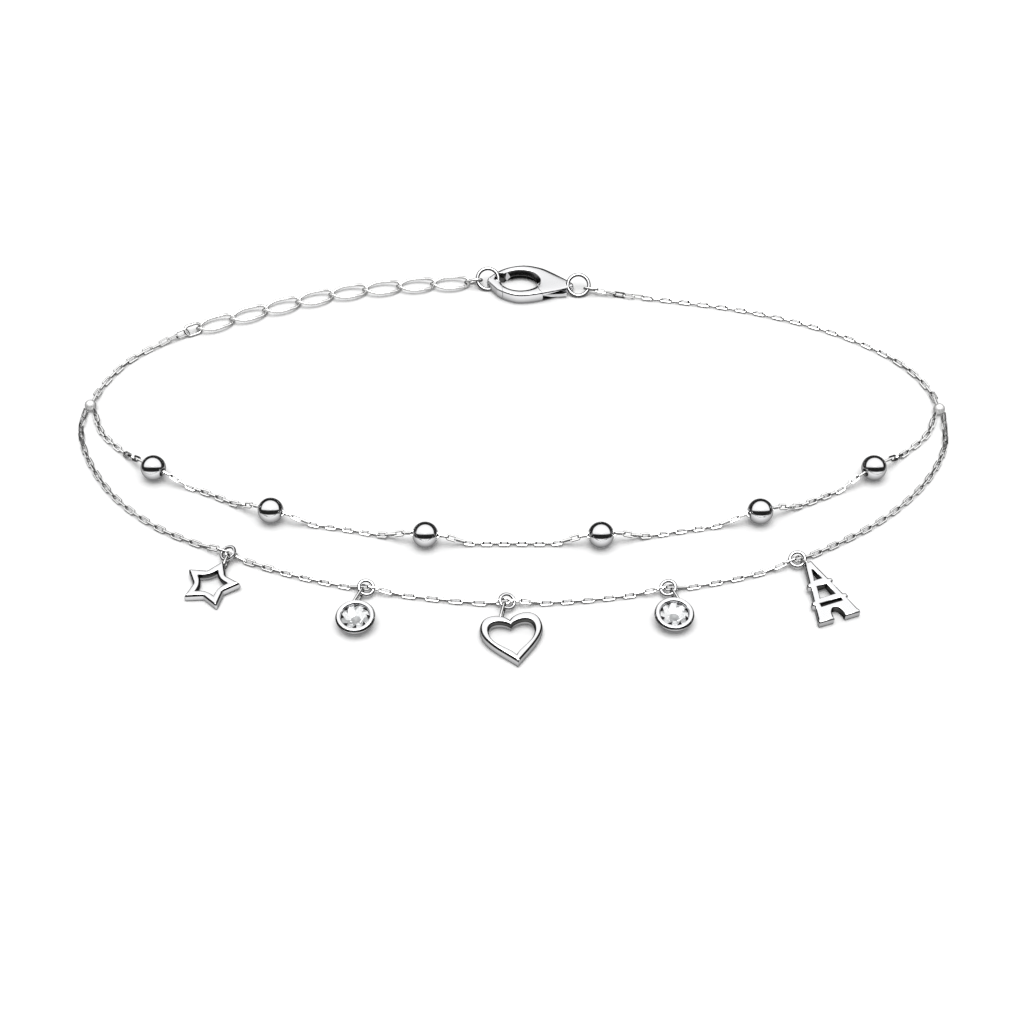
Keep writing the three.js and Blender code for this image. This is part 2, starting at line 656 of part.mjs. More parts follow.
add('extender_link_01', lay(
  straightLink(SMALL_LINK), flatAt(place, SMALL_LINK_HEIGHT), extender.direction(place), leftWire));
place -= innerHalf(SMALL_LINK) + innerHalf(END_LINK) - SLACK;

// The left back chain, which ends in an open link in the extender's last link.
extender.bumps = [
  junctionBump(0),
  { at: place, height: SMALL_LINK_HEIGHT, flat: 0.6, fade: 2.4 },
];
const leftAlong = extender.direction(place);
add('back_chain_left', fuse(
  lay(straightLink(END_LINK), extender.point(place), leftAlong, leftAlong.clone().cross(leftWire)),
  tube(extender, STRAND_START - 0.4, place - innerHalf(END_LINK)),
));

// Charms: a group at the strand's point holds the ring, and the loop joins the charm's body.
CHARMS.forEach(({ name, body, x, at, turn, tilt, loop, side }, i) => {
  const s = outer.find(x);
  const along = outer.direction(s).setZ(0).normalize();
  const base = new THREE.Matrix4().makeBasis(
    along, new THREE.Vector3(along.y, -along.x, 0), new THREE.Vector3(0, 0, -1));
  base.setPosition(outer.point(s).setZ(0));
  const place3 = ({ along: a, out, up }) => new THREE.Vector3(side * a, out, -up).applyMatrix4(base);

  const frame = new THREE.Matrix4().makeRotationZ(Math.atan2(along.y, along.x));
  const jump = add(`charm_ring_${i + 1}`, ring(CHARM_RING));
  jump.applyMatrix4(new THREE.Matrix4().makeRotationX(degrees(CHARM_RING.slope)));
  jump.applyMatrix4(new THREE.Matrix4().makeRotationY(side * degrees(CHARM_RING.roll)));
  jump.applyMatrix4(frame);
  jump.position.copy(place3(RING_AT));

  const back = place3(LOOP_AT);
  const yaw = degrees(LOOP_AT.yaw) * side;
  const outward = new THREE.Vector3(-Math.sin(yaw), -Math.cos(yaw), 0).transformDirection(frame);
  const wireRadius = (LOOP.width - LOOP.wire) / 2;
  const length = loop + LOOP.wire;
  const centre = back.clone().addScaledVector(outward, loop / 2 - wireRadius);
  const opening = outward.clone().cross(new THREE.Vector3(0, 0, 1));
  const link = straightLink({ length, width: LOOP.width, wire: LOOP.wire });
  const loopLink = lay(link, centre, outward, opening);

  const lift = new THREE.Matrix4().makeRotationX(degrees(tilt));
  const raised = body().applyMatrix4(lift);
  raised.computeBoundingBox();
  const stand = new THREE.Matrix4().makeRotationZ(degrees(turn));
  stand.setPosition(at[0], at[1], -raised.boundingBox.min.z);
  add(name, fuse(raised.applyMatrix4(stand), loopLink));

  if (body === bezel) {
    const gem = stone().translate(0, 0, BEZEL.seat + STONE.girdle + CLEARANCE);
    add(name.replace('bezel', 'stone'), gem.applyMatrix4(lift).applyMatrix4(stand), CRYSTAL);
  }
});

export default bracelet;
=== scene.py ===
"""Looks of a silver charm bracelet that lies closed on a pale surface.

The four tubes of fine chain become real links on the same routes, and the beads, balls, rings,
links, charms, stones and clasp become smooth surfaces in place of their solids. Sizes in the tables
are in millimetres, and meshes are written in metres.
"""

from collections import namedtuple

import bmesh
import bpy
import numpy as np
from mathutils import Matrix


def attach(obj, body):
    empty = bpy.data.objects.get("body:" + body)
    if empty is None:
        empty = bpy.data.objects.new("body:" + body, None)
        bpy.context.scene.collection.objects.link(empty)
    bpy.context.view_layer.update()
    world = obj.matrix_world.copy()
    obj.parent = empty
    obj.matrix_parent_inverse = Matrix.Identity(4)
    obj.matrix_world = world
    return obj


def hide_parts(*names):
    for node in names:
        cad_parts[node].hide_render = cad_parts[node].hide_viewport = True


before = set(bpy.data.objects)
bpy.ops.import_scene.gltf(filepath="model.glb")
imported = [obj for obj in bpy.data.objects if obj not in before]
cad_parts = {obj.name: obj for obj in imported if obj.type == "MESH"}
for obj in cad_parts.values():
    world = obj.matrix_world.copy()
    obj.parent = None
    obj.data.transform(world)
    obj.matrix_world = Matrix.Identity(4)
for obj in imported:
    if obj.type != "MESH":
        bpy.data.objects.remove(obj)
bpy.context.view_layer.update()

bl_info = {
    "name": "Charm Bracelet",
    "version": (1, 0, 0),
    "blender": (4, 5, 0),
    "location": "View3D > Sidebar > Bracelet",
    "description": "Fine chain, beads, charms and clasp of a polished silver bracelet",
    "category": "Object",
}

MM = 0.001
UP = np.array([0.0, 0.0, 1.0])


# ---- Routes, places and sizes ----------------------------------------------------------------

LEFT_BALL = (-38.95, 5.6)
RIGHT_BALL = (39.4, 5.1)
BALL_HEIGHT = 0.53
OUTER_ROUTE = [
    (-39.3, 5.2), (-39.4, 2.4), (-38.1, -1.5), (-35.2, -6.0), (-31.0, -9.7), (-25.8, -12.4),
    (-20.2, -14.8), (-14.2, -16.6), (-8.0, -17.8), (-1.5, -18.55), (5.0, -18.3), (11.3, -17.4),
    (17.3, -16.2), (22.8, -14.5), (28.0, -11.8), (32.8, -8.5), (36.8, -4.3), (39.2, 0.2),
    (39.75, 4.7),
]
INNER_ROUTE = [
    (-38.6, 5.2), (-37.5, 2.3), (-35.2, -0.3), (-32.0, -3.2), (-26.9, -5.6), (-21.1, -8.5),
    (-14.5, -9.9), (-7.5, -11.4), (0.0, -11.6), (7.7, -11.4), (14.8, -10.1), (21.7, -8.6),
    (27.4, -6.1), (32.3, -3.2), (35.6, -0.4), (37.9, 2.0), (39.05, 4.7),
]
BACK_RIGHT_ROUTE = [
    (15.0, 21.0), (21.5, 19.7), (26.8, 18.0), (31.5, 15.8), (35.2, 13.2), (37.7, 10.4),
    (39.0, 7.7), (39.4, 5.5),
]
EXTENDER_ROUTE = [
    (-38.95, 6.0), (-38.1, 8.9), (-36.2, 12.1), (-33.2, 14.7), (-29.4, 16.9), (-23.2, 19.6),
    (-16.9, 21.8), (-10.4, 22.95), (-5.2, 23.4),
]
BEAD_XS = (-32.0, -21.1, -7.5, 7.7, 21.7, 32.3)

# Height of a lying strand, and bumps as height, half width held and fade.
CHAIN_HEIGHT = 0.26
BALL_BUMP = (0.42, 0.8, 1.8)
BEAD_BUMP = (1.125, 1.125, 3.2)
HELD_BUMP = (0.592, 0.3, 2.2)
END_FADE = (0.6, 2.4)

# How far from the ends of their routes, inside the balls, the links of the outer and back strands
# and those of the inner strand begin, and the play of a link between its neighbours.
OUTER_START = 0.62
INNER_START = 0.6
LINK_PLAY = 0.02

# The width of fine links leans by turns up and down from the strand's outward side, and a held
# link stands steeper. A twist fades over a distance. The flats of a link's wire are a share of its
# side, narrower on the outer strand.
ROLL_UP = 61.0
HELD_ALONG = 0.551
HELD_ROLL = 68.7
HELD_FADE = 2.6
END_TWIST_FADE = 6.0
WIRE_FLAT = 0.68
OUTER_WIRE_FLAT = 0.5

# The bore of a bead, the share of it where the round ends, and the points of the lip as shares of
# it and heights over that end.
BORE = 0.38
ROUND_END = 1.12
LIP = ((1.03, 0.004), (1.0, -0.03))

# Wire loops as length or outer diameter, width and wire.
END_LINK = (1.5, 0.8, 0.2)
SMALL_LINK = (1.9, 1.25, 0.27)
SMALL_LINK_HEIGHT = 0.5
OVAL_LINK = (4.0, 2.0, 0.27)
OVAL_TWIST = 42.0
OVAL_POINT = 0.12
OVAL_HEIGHT = 0.43
OVAL_COUNT = 8
SLACK = 0.11
CLASP_RING = (2.43, 0.36)
CLASP_RING_SLOPE = 40.0
CATCH_RING_AT = (-2.37, 23.45)
TAIL_RING_AT = (6.5, 22.5)
CATCH_HOLD = 4.0
TAIL_HOLD = 20.0

# A charm's jump ring and upright loop from the strand's point: along it, out from it and up.
JUMP_RING = (1.56, 0.29)
JUMP_RING_AT = (-0.1, 0.168, 0.734)
JUMP_RING_SLOPE = 17.0
JUMP_RING_ROLL = 18.0
LOOP_AT = (-0.377, 0.753, 0.653)
LOOP_YAW = 11.3
LOOP = (0.992, 0.26)

# Charms: strand's x, body's place, turn, tilt, length of the loop and side of the held link.
Charm = namedtuple("Charm", "x place turn tilt loop side")
CHARMS = {
    "star_charm": Charm(-24.45, (-25.56, -16.65), -20.0, 4.0, 1.25, -1),
    "bezel_1": Charm(-12.2, (-13.03, -20.6), -15.0, 7.0, 2.05, 1),
    "heart_charm": Charm(-0.3, (0.06, -22.53), 9.2, 4.0, 1.95, 1),
    "bezel_2": Charm(13.1, (13.53, -20.3), 8.0, 7.0, 1.7, -1),
    "tower_charm": Charm(24.3, (24.95, -13.75), 20.0, 4.0, 1.0, -1),
}

# Sections of the bands that star, heart and clasp are: the height, the depth where the side starts
# to lean inwards and by how much, the chamfer, the opening's edge and the foot as run and drop, and
# how far the opening's wall swells below its edge.
STAR_BAND = {"height": 0.68, "side": (0.5, 0.05), "chamfer": (0.14, 0.18), "opening": (0.12, 0.32),
             "swell": 0.05, "foot": (0.12, 0.16)}
HEART_BAND = {"height": 0.8, "side": (0.56, 0.06), "chamfer": (0.15, 0.2), "opening": (0.1, 0.34),
              "swell": 0.04, "foot": (0.14, 0.2)}
CLASP_BAND = {"height": 1.15, "side": (0.6, 0.06), "chamfer": (0.13, 0.17), "opening": (0.09, 0.55),
              "foot": (0.3, 0.55), "crown": 0.04, "middle": 11}
BAND_POINTS = 240

# Star: how far tips and notches reach and how much is cut off them, and the same of the opening's
# tips and of the points that pull its sides inwards.
STAR_REACH, STAR_CUTS = (2.66, 1.5), (0.3, 0.1)
STAR_OPENING = (1.38, 0.72)

# Heart and its opening: half width, and y of the notch, the tip, the lobes and the widest place.
HEART = (2.635, 1.69, -2.9, 2.31, 0.75)
HEART_OPENING = (1.955, 0.9556, -2.0024, 1.4156, 0.6)

# Tower from its loop downwards: the right side, one half of the arch between its legs, the
# windows, the thickness and the bevel.
TOWER_SIDE = np.array([
    (0.31, 0.85), (0.56, 1.9), (0.86, 3.02), (1.12, 3.08), (1.16, 3.36), (0.96, 3.46),
    (1.34, 4.9), (1.6, 4.98), (1.64, 5.28), (1.46, 5.38), (1.8, 6.75), (1.9, 6.88), (1.88, 7.15),
    (0.5, 7.15),
])
TOWER_ARCH = [(0.5, 7.15), (0.5, 6.35), (0.3, 6.05), (0.0, 6.05)]
TOWER_WINDOWS = [
    [(0.05, 1.8), (0.3, 2.84), (-0.3, 2.84), (-0.05, 1.8)],
    [(0.43, 3.58), (0.66, 4.72), (-0.66, 4.72), (-0.43, 3.58)],
    [(0.97, 5.3), (0.93, 5.56), (-0.93, 5.56), (-0.97, 5.3)],
]
TOWER_THICK, TOWER_BEVEL = 0.76, 0.14

# Cup of a stone: radius, height and cut of each corner from below and up, over the rim to the
# seat, and down inside. Then the stone, and the play under it.
SEAT = 0.8
CUP = [
    (0.95, 0.0, 0.25), (1.42, 0.3, 0.24), (1.645, 0.76, 0.1), (1.675, 0.96, 0.03),
    (1.545, 1.13, 0.01), (1.53, 1.15, 0.01), (1.29, 1.15, 0.02), (1.2, 1.04, 0.02),
    (1.2, SEAT, 0.04), (0.96, SEAT - 0.16, 0.04), (0.4, 0.2, 0.08),
]
STONE = {"across": 2.34, "table": 1.3, "crown": 0.3, "girdle": 0.05, "pavilion": 0.5}
STONE_PLAY = 0.05

# Shares of the radius and of the depth of the pavilion's two inner rows. Then the stone's faces in
# the order they are made, as a material's place and a count: table, stars, kites and some halves;
# dark halves; the other halves and the girdle; and the pavilion, with dark triangles in its first
# row and a grey point. The dark halves, the dark triangles and the grey point are painted dark
# reflections: dark and grey foils in place of what those facets mirror.
PAVILION_ROWS = ((0.68, 0.42), (0.36, 0.75))
STONE_FACES = ((0, 56), (3, 8), (0, 48), (1, 8), (3, 8), (1, 48), (2, 16))

# Lobster clasp from above. Eye as centre, half length and half width; pocket as centre and radius;
# the pin's place; and the gate in radii and degrees about the pin.
CLASP_OUTLINE = [
    (-2.45, 22.95), (-2.0, 23.85), (-0.7, 24.88), (1.1, 25.34), (2.8, 24.98), (4.2, 24.2),
    (5.5, 23.27), (6.05, 22.65), (5.62, 22.12), (3.7, 21.18), (1.6, 20.62), (0.1, 20.68),
    (-1.5, 21.6),
]
EYE = (0.82, 23.0, 1.94, 1.58)
POCKET = (-1.1, 23.42, 0.5)
PIN = (3.9, 22.0)
GATE = {"inner": 1.38, "outer": 4.86, "below": 60.0, "above": 3.5, "swing": 22.0}

# The wall of the clasp's eye swells by a smooth step over x and y from the eye's centre in these
# lengths, and the leaf falls by a share of its height from an x on over a length.
EYE_SWELL, SWELL_OVER, SWELL_START = 0.3, (2.6, 1.6), 0.4
TAIL_FALL, FALL_FROM, FALL_OVER = 0.2, 2.6, 3.4

# Play round the gate and round the rings, the slot in the body from the pin and its heights, and
# the gate's tongue from the pin, with its round end, middle height and thickness.
GATE_PLAY, RING_PLAY = 0.05, 0.1
SLOT = [(-1.5, 0.85), (0, 0.68), (0.75, 0.5), (1.57, 0.12), (1.57, -2), (-1.5, -2)]
SLOT_LEVELS = (0.15, 0.85)
TONGUE = [(-1.73, -0.6), (0, -0.56), (1.45, -0.44), (1.45, -0.1), (0.4, 0.38)]
TONGUE_ROOT = (-1.73, 0.02)
TONGUE_ROUND = 0.56
TONGUE_MIDDLE, TONGUE_THICK = 0.4, 0.32

# Silvers: share of the hairlines, haze on top of the lowest roughness, and tone. The last two are
# painted shade: their low tone paints dark reflections and shade on wire corners, chamfers, rims
# and the walls of openings. Foils: tone; the grey and dark ones paint dark reflections on facets.
SILVERS = {
    "silver": (1.0, 0.0, 1.0),
    "silver_satin": (1.0, 0.5, 1.0),
    "silver_wire": (0.4, 0.08, 1.0),
    "wire_painted_shade": (0.4, 0.2, 0.22),
    "silver_painted_shade": (0.4, 0.2, 0.12),
}
FOILS = {"foil": 0.97, "foil_painted_grey_reflection": 0.1, "foil_painted_dark_reflection": 0.03}

# Scales of the two ways that hairlines run, along X, Y and Z, and the stones' index of refraction.
HAIRLINES = ((9000.0, 700.0, 3000.0), (800.0, 8000.0, 2600.0))
STONE_INDEX = 1.6

# Stage: half the floor's side in metres, the sun's strength, spread and lean, and the camera's
# place, aim and lens.
FLOOR_HALF = 3.0
SUN_STRENGTH, SUN_SPREAD, SUN_LEAN = 1.97, 50.0, 3.0
CAMERA_AT, CAMERA_AIM, LENS = (0.0, -133.0, 129.8), (0.0, -7.6, 0.0), 72.0


# ---- Small vector tools ----------------------------------------------------------------------


def unit(vectors):
    """Each vector divided by its length."""
    return vectors / np.linalg.norm(vectors, axis=-1, keepdims=True)


def turn(axis, degrees):
    """The matrix of a right-handed turn about X, Y or Z."""
    a, b = {"X": (1, 2), "Y": (2, 0), "Z": (0, 1)}[axis]
    matrix = np.eye(3)
    matrix[a, a] = matrix[b, b] = np.cos(np.radians(degrees))
    matrix[b, a] = np.sin(np.radians(degrees))
    matrix[a, b] = -matrix[b, a]
    return matrix


def circle(count, start=0.0):
    """Cosines and sines of a full turn in equal steps."""
    angle = (np.arange(count) + start) * 2 * np.pi / count
    return np.cos(angle), np.sin(angle)


def arc(first, last, count):
    """Points of the unit circle between two angles in degrees."""
    angle = np.radians(np.linspace(first, last, count))
    return np.stack([np.cos(angle), np.sin(angle)], -1)


def outward_of(along):
    """The level unit direction to the right of a direction, which is a strand's outward side."""
    return unit(along[..., [1, 0, 2]] * [1, -1, 0])


def smoothstep(t):
    """0 below t = 0, 1 above t = 1, and three t squared less two t cubed between."""
    t = np.clip(t, 0, 1)
    return t * t * (3 - 2 * t)


def smooth_curve(points, per_span=120):
    """A Catmull-Rom curve: each span is the cubic whose end slopes are half the step between the
    points on both sides, and the ends are carried on straight."""
    p = np.asarray(points, float)
    q = np.concatenate([2 * p[:1] - p[1:2], p, 2 * p[-1:] - p[-2:-1]])
    t = (np.arange(per_span) / per_span)[None, :, None]
    a, b, c, d = (q[k : k + len(p) - 1][:, None, :] for k in range(4))
    bend = (2 * a - 5 * b + 4 * c - d) * t**2 + (3 * b - a - 3 * c + d) * t**3
    spans = 0.5 * (2 * b + (c - a) * t + bend)
    return np.concatenate([spans.reshape(-1, p.shape[1]), p[-1:]])


def rounded(points, cuts, steps=4):
    """A closed outline with each corner replaced by a parabola that starts and ends at a cut's
    distance from the corner."""
    p = np.asarray(points, float)
    cuts = np.broadcast_to(cuts, len(p))[:, None]
    before = p + unit(np.roll(p, 1, axis=0) - p) * cuts
    after = p + unit(np.roll(p, -1, axis=0) - p) * cuts
    t = np.linspace(0, 1, steps + 1)[None, :, None]
    arcs = before[:, None] * (1 - t) ** 2 + 2 * p[:, None] * t * (1 - t) + after[:, None] * t**2
    return arcs.reshape(-1, p.shape[1])


def bezier(points, count):
    """Points of a cubic with four control points, without its end."""
    a, b, c, d = np.asarray(points, float)
    t = (np.arange(count) / count)[:, None]
    return a * (1 - t) ** 3 + 3 * b * t * (1 - t) ** 2 + 3 * c * t**2 * (1 - t) + d * t**3


# ---- Surfaces --------------------------------------------------------------------------------


def finish_mesh(mesh, sharp):
    """Merges doubled points, turns the faces outwards and shades them smooth up to an angle."""
    work = bmesh.new()
    work.from_mesh(mesh)
    bmesh.ops.remove_doubles(work, verts=work.verts, dist=1e-8)
    bmesh.ops.recalc_face_normals(work, faces=work.faces)
    work.to_mesh(mesh)
    work.free()
    mesh.shade_smooth()
    mesh.set_sharp_from_angle(angle=np.radians(sharp))


def new_object(name, data):
    """An object of a mesh, light or camera, in the scene."""
    obj = bpy.data.objects.new(name, data)
    bpy.context.scene.collection.objects.link(obj)
    return obj


def set_materials(mesh, places):
    """Each face's place in the list of materials."""
    mesh.polygons.foreach_set("material_index", np.resize(places, len(mesh.polygons)).astype(int))


def surface(name, grids, closed=True, sharp=40, painted_shade=False):
    """An object of grids of points. Rows are rings whose last point joins their first. The last row
    joins the first row if closed, and otherwise the first and last rows are single points. The
    columns marked get the second material, a darker silver that paints shade and dark reflections."""
    points, faces, start = [], [], 0
    for grid in grids:
        rows, columns = grid.shape[:2]
        last = rows if closed else rows - 1
        i, j = np.meshgrid(np.arange(last), np.arange(columns), indexing="ij")
        down, right = (i + 1) % rows * columns, (j + 1) % columns
        corners = [i * columns + j, down + j, down + right, i * columns + right]
        faces.append(np.stack(corners, -1).reshape(-1, 4) + start)
        points.append(grid.reshape(-1, 3))
        start += rows * columns
    mesh = bpy.data.meshes.new(name)
    mesh.from_pydata((np.concatenate(points) * MM).tolist(), [], np.concatenate(faces).tolist())
    set_materials(mesh, painted_shade)
    finish_mesh(mesh, sharp)
    return new_object(name, mesh)


def finish_with(obj, *names):
    """Gives the object's mesh its materials in order."""
    for name in names:
        obj.data.materials.append(bpy.data.materials[name])


def dress(obj, nodes, material="silver", body="bracelet"):
    """The object rides on a body, stands for its solids and gets its finish, with a darker silver
    second for the faces with painted shade and dark reflections.
    """
    if not obj.data.materials:
        finish_with(obj, material, "wire_painted_shade" if material == "silver_wire" else "silver_painted_shade")
    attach(obj, body)
    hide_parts(*nodes)


def flat(x, y):
    """Points in the XY plane from two arrays."""
    return np.stack([x, y, np.zeros_like(x)], -1)


# The faces of a fine link's wire that cut its corners. They get the darker silver, painted dark
# reflections along the wire's outline.
PAINTED_SHADE_CORNERS = np.arange(8) % 2 == 1


def edges_of(sides):
    """The faces about a wire's section that lie between its crowns: those within 16 degrees of a
    diagonal. They get the darker silver, painted dark reflections along the wire's outline."""
    return np.abs((np.arange(sides) + 0.5) * 360 / sides % 90 - 45) < 16


def wire(line, outward, radius, sides):
    """A closed wire: round each point of the line a circle in the plane of its outward direction
    and of Z."""
    c, s = (part[:, None] for part in circle(sides))
    section = c * outward[:, None, :] + s * UP
    return line[:, None, :] + radius * section


def ring(across, thick, around=48, sides=16):
    """A torus about Z from its outer diameter and its wire."""
    outward = flat(*circle(around))
    return wire(outward * (across - thick) / 2, outward, thick / 2, sides)


def straight_link(length, width, thick, around=32, sides=12):
    """A link along X: two half circles of wire joined by straight wires."""
    outward = flat(*circle(around, 0.5))
    line = outward * (width - thick) / 2
    line[:, 0] += (length - width) / 2 * np.sign(outward[:, 0])
    return wire(line, outward, thick / 2, sides)


def oval_link(length, width, thick, twist, pointed, around=72, sides=12):
    """A curb link along X: an ellipse narrowed towards its ends by a cosine squared, and then
    turned about X by the cube of x, so that it lies flat but for its ends."""
    a, b = (length - thick) / 2, (width - thick) / 2
    c, s = circle(around)
    squeeze = 1 - pointed * c * c
    outward = unit(flat(b * c * (squeeze + 2 * pointed * s * s), a * s))
    x, y, z = np.moveaxis(wire(flat(a * c, b * s * squeeze), outward, thick / 2, sides), -1, 0)
    roll = np.radians(twist) * (x / a) ** 3
    c, s = np.cos(roll), np.sin(roll)
    return np.stack([x, y * c - z * s, y * s + z * c], -1)


def lay(grid, centre, along, opening):
    """A flat link with its length along one direction and its opening facing another."""
    x = unit(along)
    z = unit(opening - x * np.dot(opening, x))
    return grid @ np.stack([x, np.cross(z, x), z]) + centre


def lathe(profile, around=48):
    """A profile of radii and heights turned about Z."""
    c, s = circle(around)
    radius, height = np.asarray(profile, float).T[..., None]
    return np.stack([radius * c, radius * s, np.broadcast_to(height, (len(height), around))], -1)


def resample(outline, count):
    """A closed outline at a count of equal steps along its length."""
    closed = np.concatenate([outline, outline[:1]])
    run = np.concatenate([[0], np.cumsum(np.linalg.norm(np.diff(closed, axis=0), axis=1))])
    s = np.arange(count) * run[-1] / count
    return np.stack([np.interp(s, run, closed[:, k]) for k in (0, 1)], -1)


def on_rays(outline, through):
    """Where a closed outline meets the rays from the origin through some points."""
    full = 2 * np.pi
    dense = resample(outline, 1200)
    angle = np.unwrap(np.arctan2(dense[:, 1], dense[:, 0])) % full
    wanted = np.arctan2(through[:, 1], through[:, 0]) % full
    order = np.argsort(angle)
    around, dense = angle[order], dense[order]
    return np.stack([np.interp(wanted, around, dense[:, k], period=full) for k in (0, 1)], -1)


def inward(outline):
    """The step at each point of a counter-clockwise outline that moves both its edges inwards by
    one: the sum of their normals divided by one and the normals' product."""
    along = unit(np.roll(outline, -1, axis=0) - outline)
    after = np.stack([-along[:, 1], along[:, 0]], -1)
    before = np.roll(after, 1, axis=0)
    return (before + after) / np.maximum(1 + np.sum(before * after, -1, keepdims=True), 0.6)


# Weights that shape the section of an edge.
CHAMFER, ROUND = 0.25, 0.7


def edge(run, drop, weight, steps=6):
    """The section of an edge from its wall to its face, as run from the wall and height: a conic
    that a small weight flattens to a chamfer and 0.7 rounds to an ellipse."""
    t = np.linspace(0, 1, steps + 1)
    total = (1 - t) ** 2 + 2 * weight * t * (1 - t) + t * t
    return np.stack([run * t * t / total, -drop * (1 - t) ** 2 / total], -1)


def flank(low, lean, run, drop):
    """The upper half of a side that leans inwards as a parabola, and then its chamfered edge."""
    t = np.linspace(0, 1, 5)
    wall = np.stack([lean * t**2, -low + (low - drop) * t], -1)
    return np.concatenate([wall, edge(run, drop, CHAMFER)[1:] + [lean, 0]])


def band(outer, inner, height, side, chamfer, opening, swell, foot, crown=0.02, middle=7):
    """A flat band between two outlines, which meet it on rays from the origin. Its section goes up
    the outer wall, over the outer edge, across a face that rises by the crown as a parabola, and
    down the opening's edge to a wall that swells into the opening at the edge's foot."""
    inner = on_rays(inner, outer)
    step_out, step_in = inward(outer), -inward(inner)

    def row(outline, step, x, z):
        """The outline moved along its steps by x, at a height."""
        moved = outline + step * np.reshape(x, (-1, 1))
        return np.concatenate([moved, np.full((len(outline), 1), z)], 1)

    run, drop = opening
    rows = [row(outer, step_out, x, -z) for x, z in edge(*foot, ROUND)[::-1]]
    rows += [row(outer, step_out, x, height + z) for x, z in flank(*side, *chamfer)]
    start = rows[-1]
    down = [row(inner, step_in, x * (run + swell) - swell, height + z)
            for x, z in edge(1.0, drop, CHAMFER, 8)[::-1]]
    for t in np.linspace(0, 1, middle + 2)[1:-1]:
        rows.append(start * (1 - t) + down[0] * t + [0, 0, 4 * crown * t * (1 - t)])
    rows += down
    low, sole = height - drop, 0.07
    rows += [row(inner, step_in, (t - 1) * swell, low + (sole - low) * t) for t in (0.33, 0.67)]
    rows += [row(inner, step_in, x, -z) for x, z in edge(sole, sole, ROUND, 3)]
    return np.stack(rows, 1)


def inner_wall(grid, deep=False):
    """The columns of a band from the third of its opening's edge to the first of the wall below,
    or to the foot's last if deep. The last six are the rest of the wall, the foot of the opening
    and the underside. The columns it marks get the darker silver, painted shade in the opening."""
    left = grid.shape[1] - np.arange(grid.shape[1])
    return (left < 14) & (left > (1 if deep else 6))


def rims(grid):
    """The middle columns of a band's foot and of its outer chamfer, and the edge of its opening.
    They get the darker silver, painted dark reflections that outline the band.
    """
    column = np.arange(grid.shape[1])
    return (abs(column - 3) < 2) | (abs(column - 13.5) < 2) | inner_wall(grid)


# ---- Routes ----------------------------------------------------------------------------------


class Route:
    """A strand's smooth plan curve by distance, raised by bumps of a place, a height, a half width
    at full height and a fade."""

    def __init__(self, points):
        self.plan = smooth_curve(points)
        steps = np.linalg.norm(np.diff(self.plan, axis=0), axis=1)
        self.run = np.concatenate([[0], np.cumsum(steps)])
        self.length = self.run[-1]
        self.bumps = []

    def find(self, x):
        """Distance along the route to its point at x."""
        return self.run[np.argmin(np.abs(self.plan[:, 0] - x))]

    def points(self, s):
        """Points at distances: the plan by its length, and the highest of the bumps."""
        s = np.atleast_1d(s)
        x, y = (np.interp(s, self.run, self.plan[:, k]) for k in (0, 1))
        z = np.full_like(x, CHAIN_HEIGHT)
        for at, height, held, fade in self.bumps:
            lift = (height - CHAIN_HEIGHT) * (1 - smoothstep((np.abs(s - at) - held) / fade))
            z = np.maximum(z, CHAIN_HEIGHT + lift)
        return np.stack([x, y, z], -1)

    def directions(self, s):
        """Unit tangents from points a little before and after."""
        s, step = np.atleast_1d(s), 0.02
        return unit(self.points(s + step) - self.points(s - step))

    def level(self, s):
        """The unit direction of the plan at a distance."""
        return unit(self.directions(s)[0] * [1, 1, 0])


def stations(anchors, pitch):
    """Places of links: an even number of equal steps of about the pitch between two anchors, so
    that every anchor has a link of the same roll."""
    parts = []
    for a, b in zip(anchors, anchors[1:]):
        count = max(2, 2 * round((b - a) / pitch / 2))
        parts.append(a + (b - a) * np.arange(count) / count)
    return np.concatenate([*parts, anchors[-1:]])


def chain_links(route, s, twists=(), wire_flat=WIRE_FLAT):
    """Links of fine chain at distances along a route. Each is a straight link as long as its pitch
    and two wires, rolled by turns by the angle each way, plus a twist that fades from its place.
    The wire's section is a square with cut corners, whose flats are a share of its side."""
    width, thick = settings().link_width / MM, settings().link_wire / MM
    roll = ROLL_UP - 90.0 * (np.arange(len(s)) % 2)
    for at, extra, fade in twists:
        roll = roll + extra * (1 - smoothstep(np.abs(s - at) / fade))
    along = route.directions(s)
    across = outward_of(along) * np.cos(np.radians(roll))[:, None]
    across[:, 2] = np.sin(np.radians(roll))
    across = unit(across - along * np.sum(across * along, -1, keepdims=True))
    c, sn = circle(8, 0.5)
    half = (np.gradient(s) + 2 * thick + LINK_PLAY - width) / 2
    x = c * (width - thick) / 2 + np.sign(c) * half[:, None]
    y = np.broadcast_to(sn * (width - thick) / 2, x.shape)
    side = np.array([1, 1, wire_flat, -wire_flat, -1, -1, -wire_flat, wire_flat]) * thick / 2
    x = x[..., None] + side * c[:, None]
    y = y[..., None] + side * sn[:, None]
    z = np.broadcast_to(np.roll(side, 2), x.shape)
    frames = np.stack([along, across, np.cross(along, across)], 1)
    laid = np.einsum("lnmk,lkj->lnmj", np.stack([x, y, z], -1), frames)
    return laid + route.points(s)[:, None, None]


def roll_of(along, across):
    """The angle of a direction across a strand above the strand's outward side."""
    return np.degrees(np.arctan2(across[2], np.dot(across, outward_of(along))))


def turned_wire(along, degrees):
    """The direction across a strand, turned about it from level."""
    across = np.array([-along[1], along[0], 0.0]) * np.cos(np.radians(degrees))
    return across + UP * np.sin(np.radians(degrees))


def clasp_ring_place(at):
    """Centre and turn of a clasp ring, whose lowest point is on the surface."""
    across, thick = CLASP_RING
    up = thick / 2 + (across - thick) / 2 * np.sin(np.radians(CLASP_RING_SLOPE))
    return np.array([*at, up]), turn("X", CLASP_RING_SLOPE)


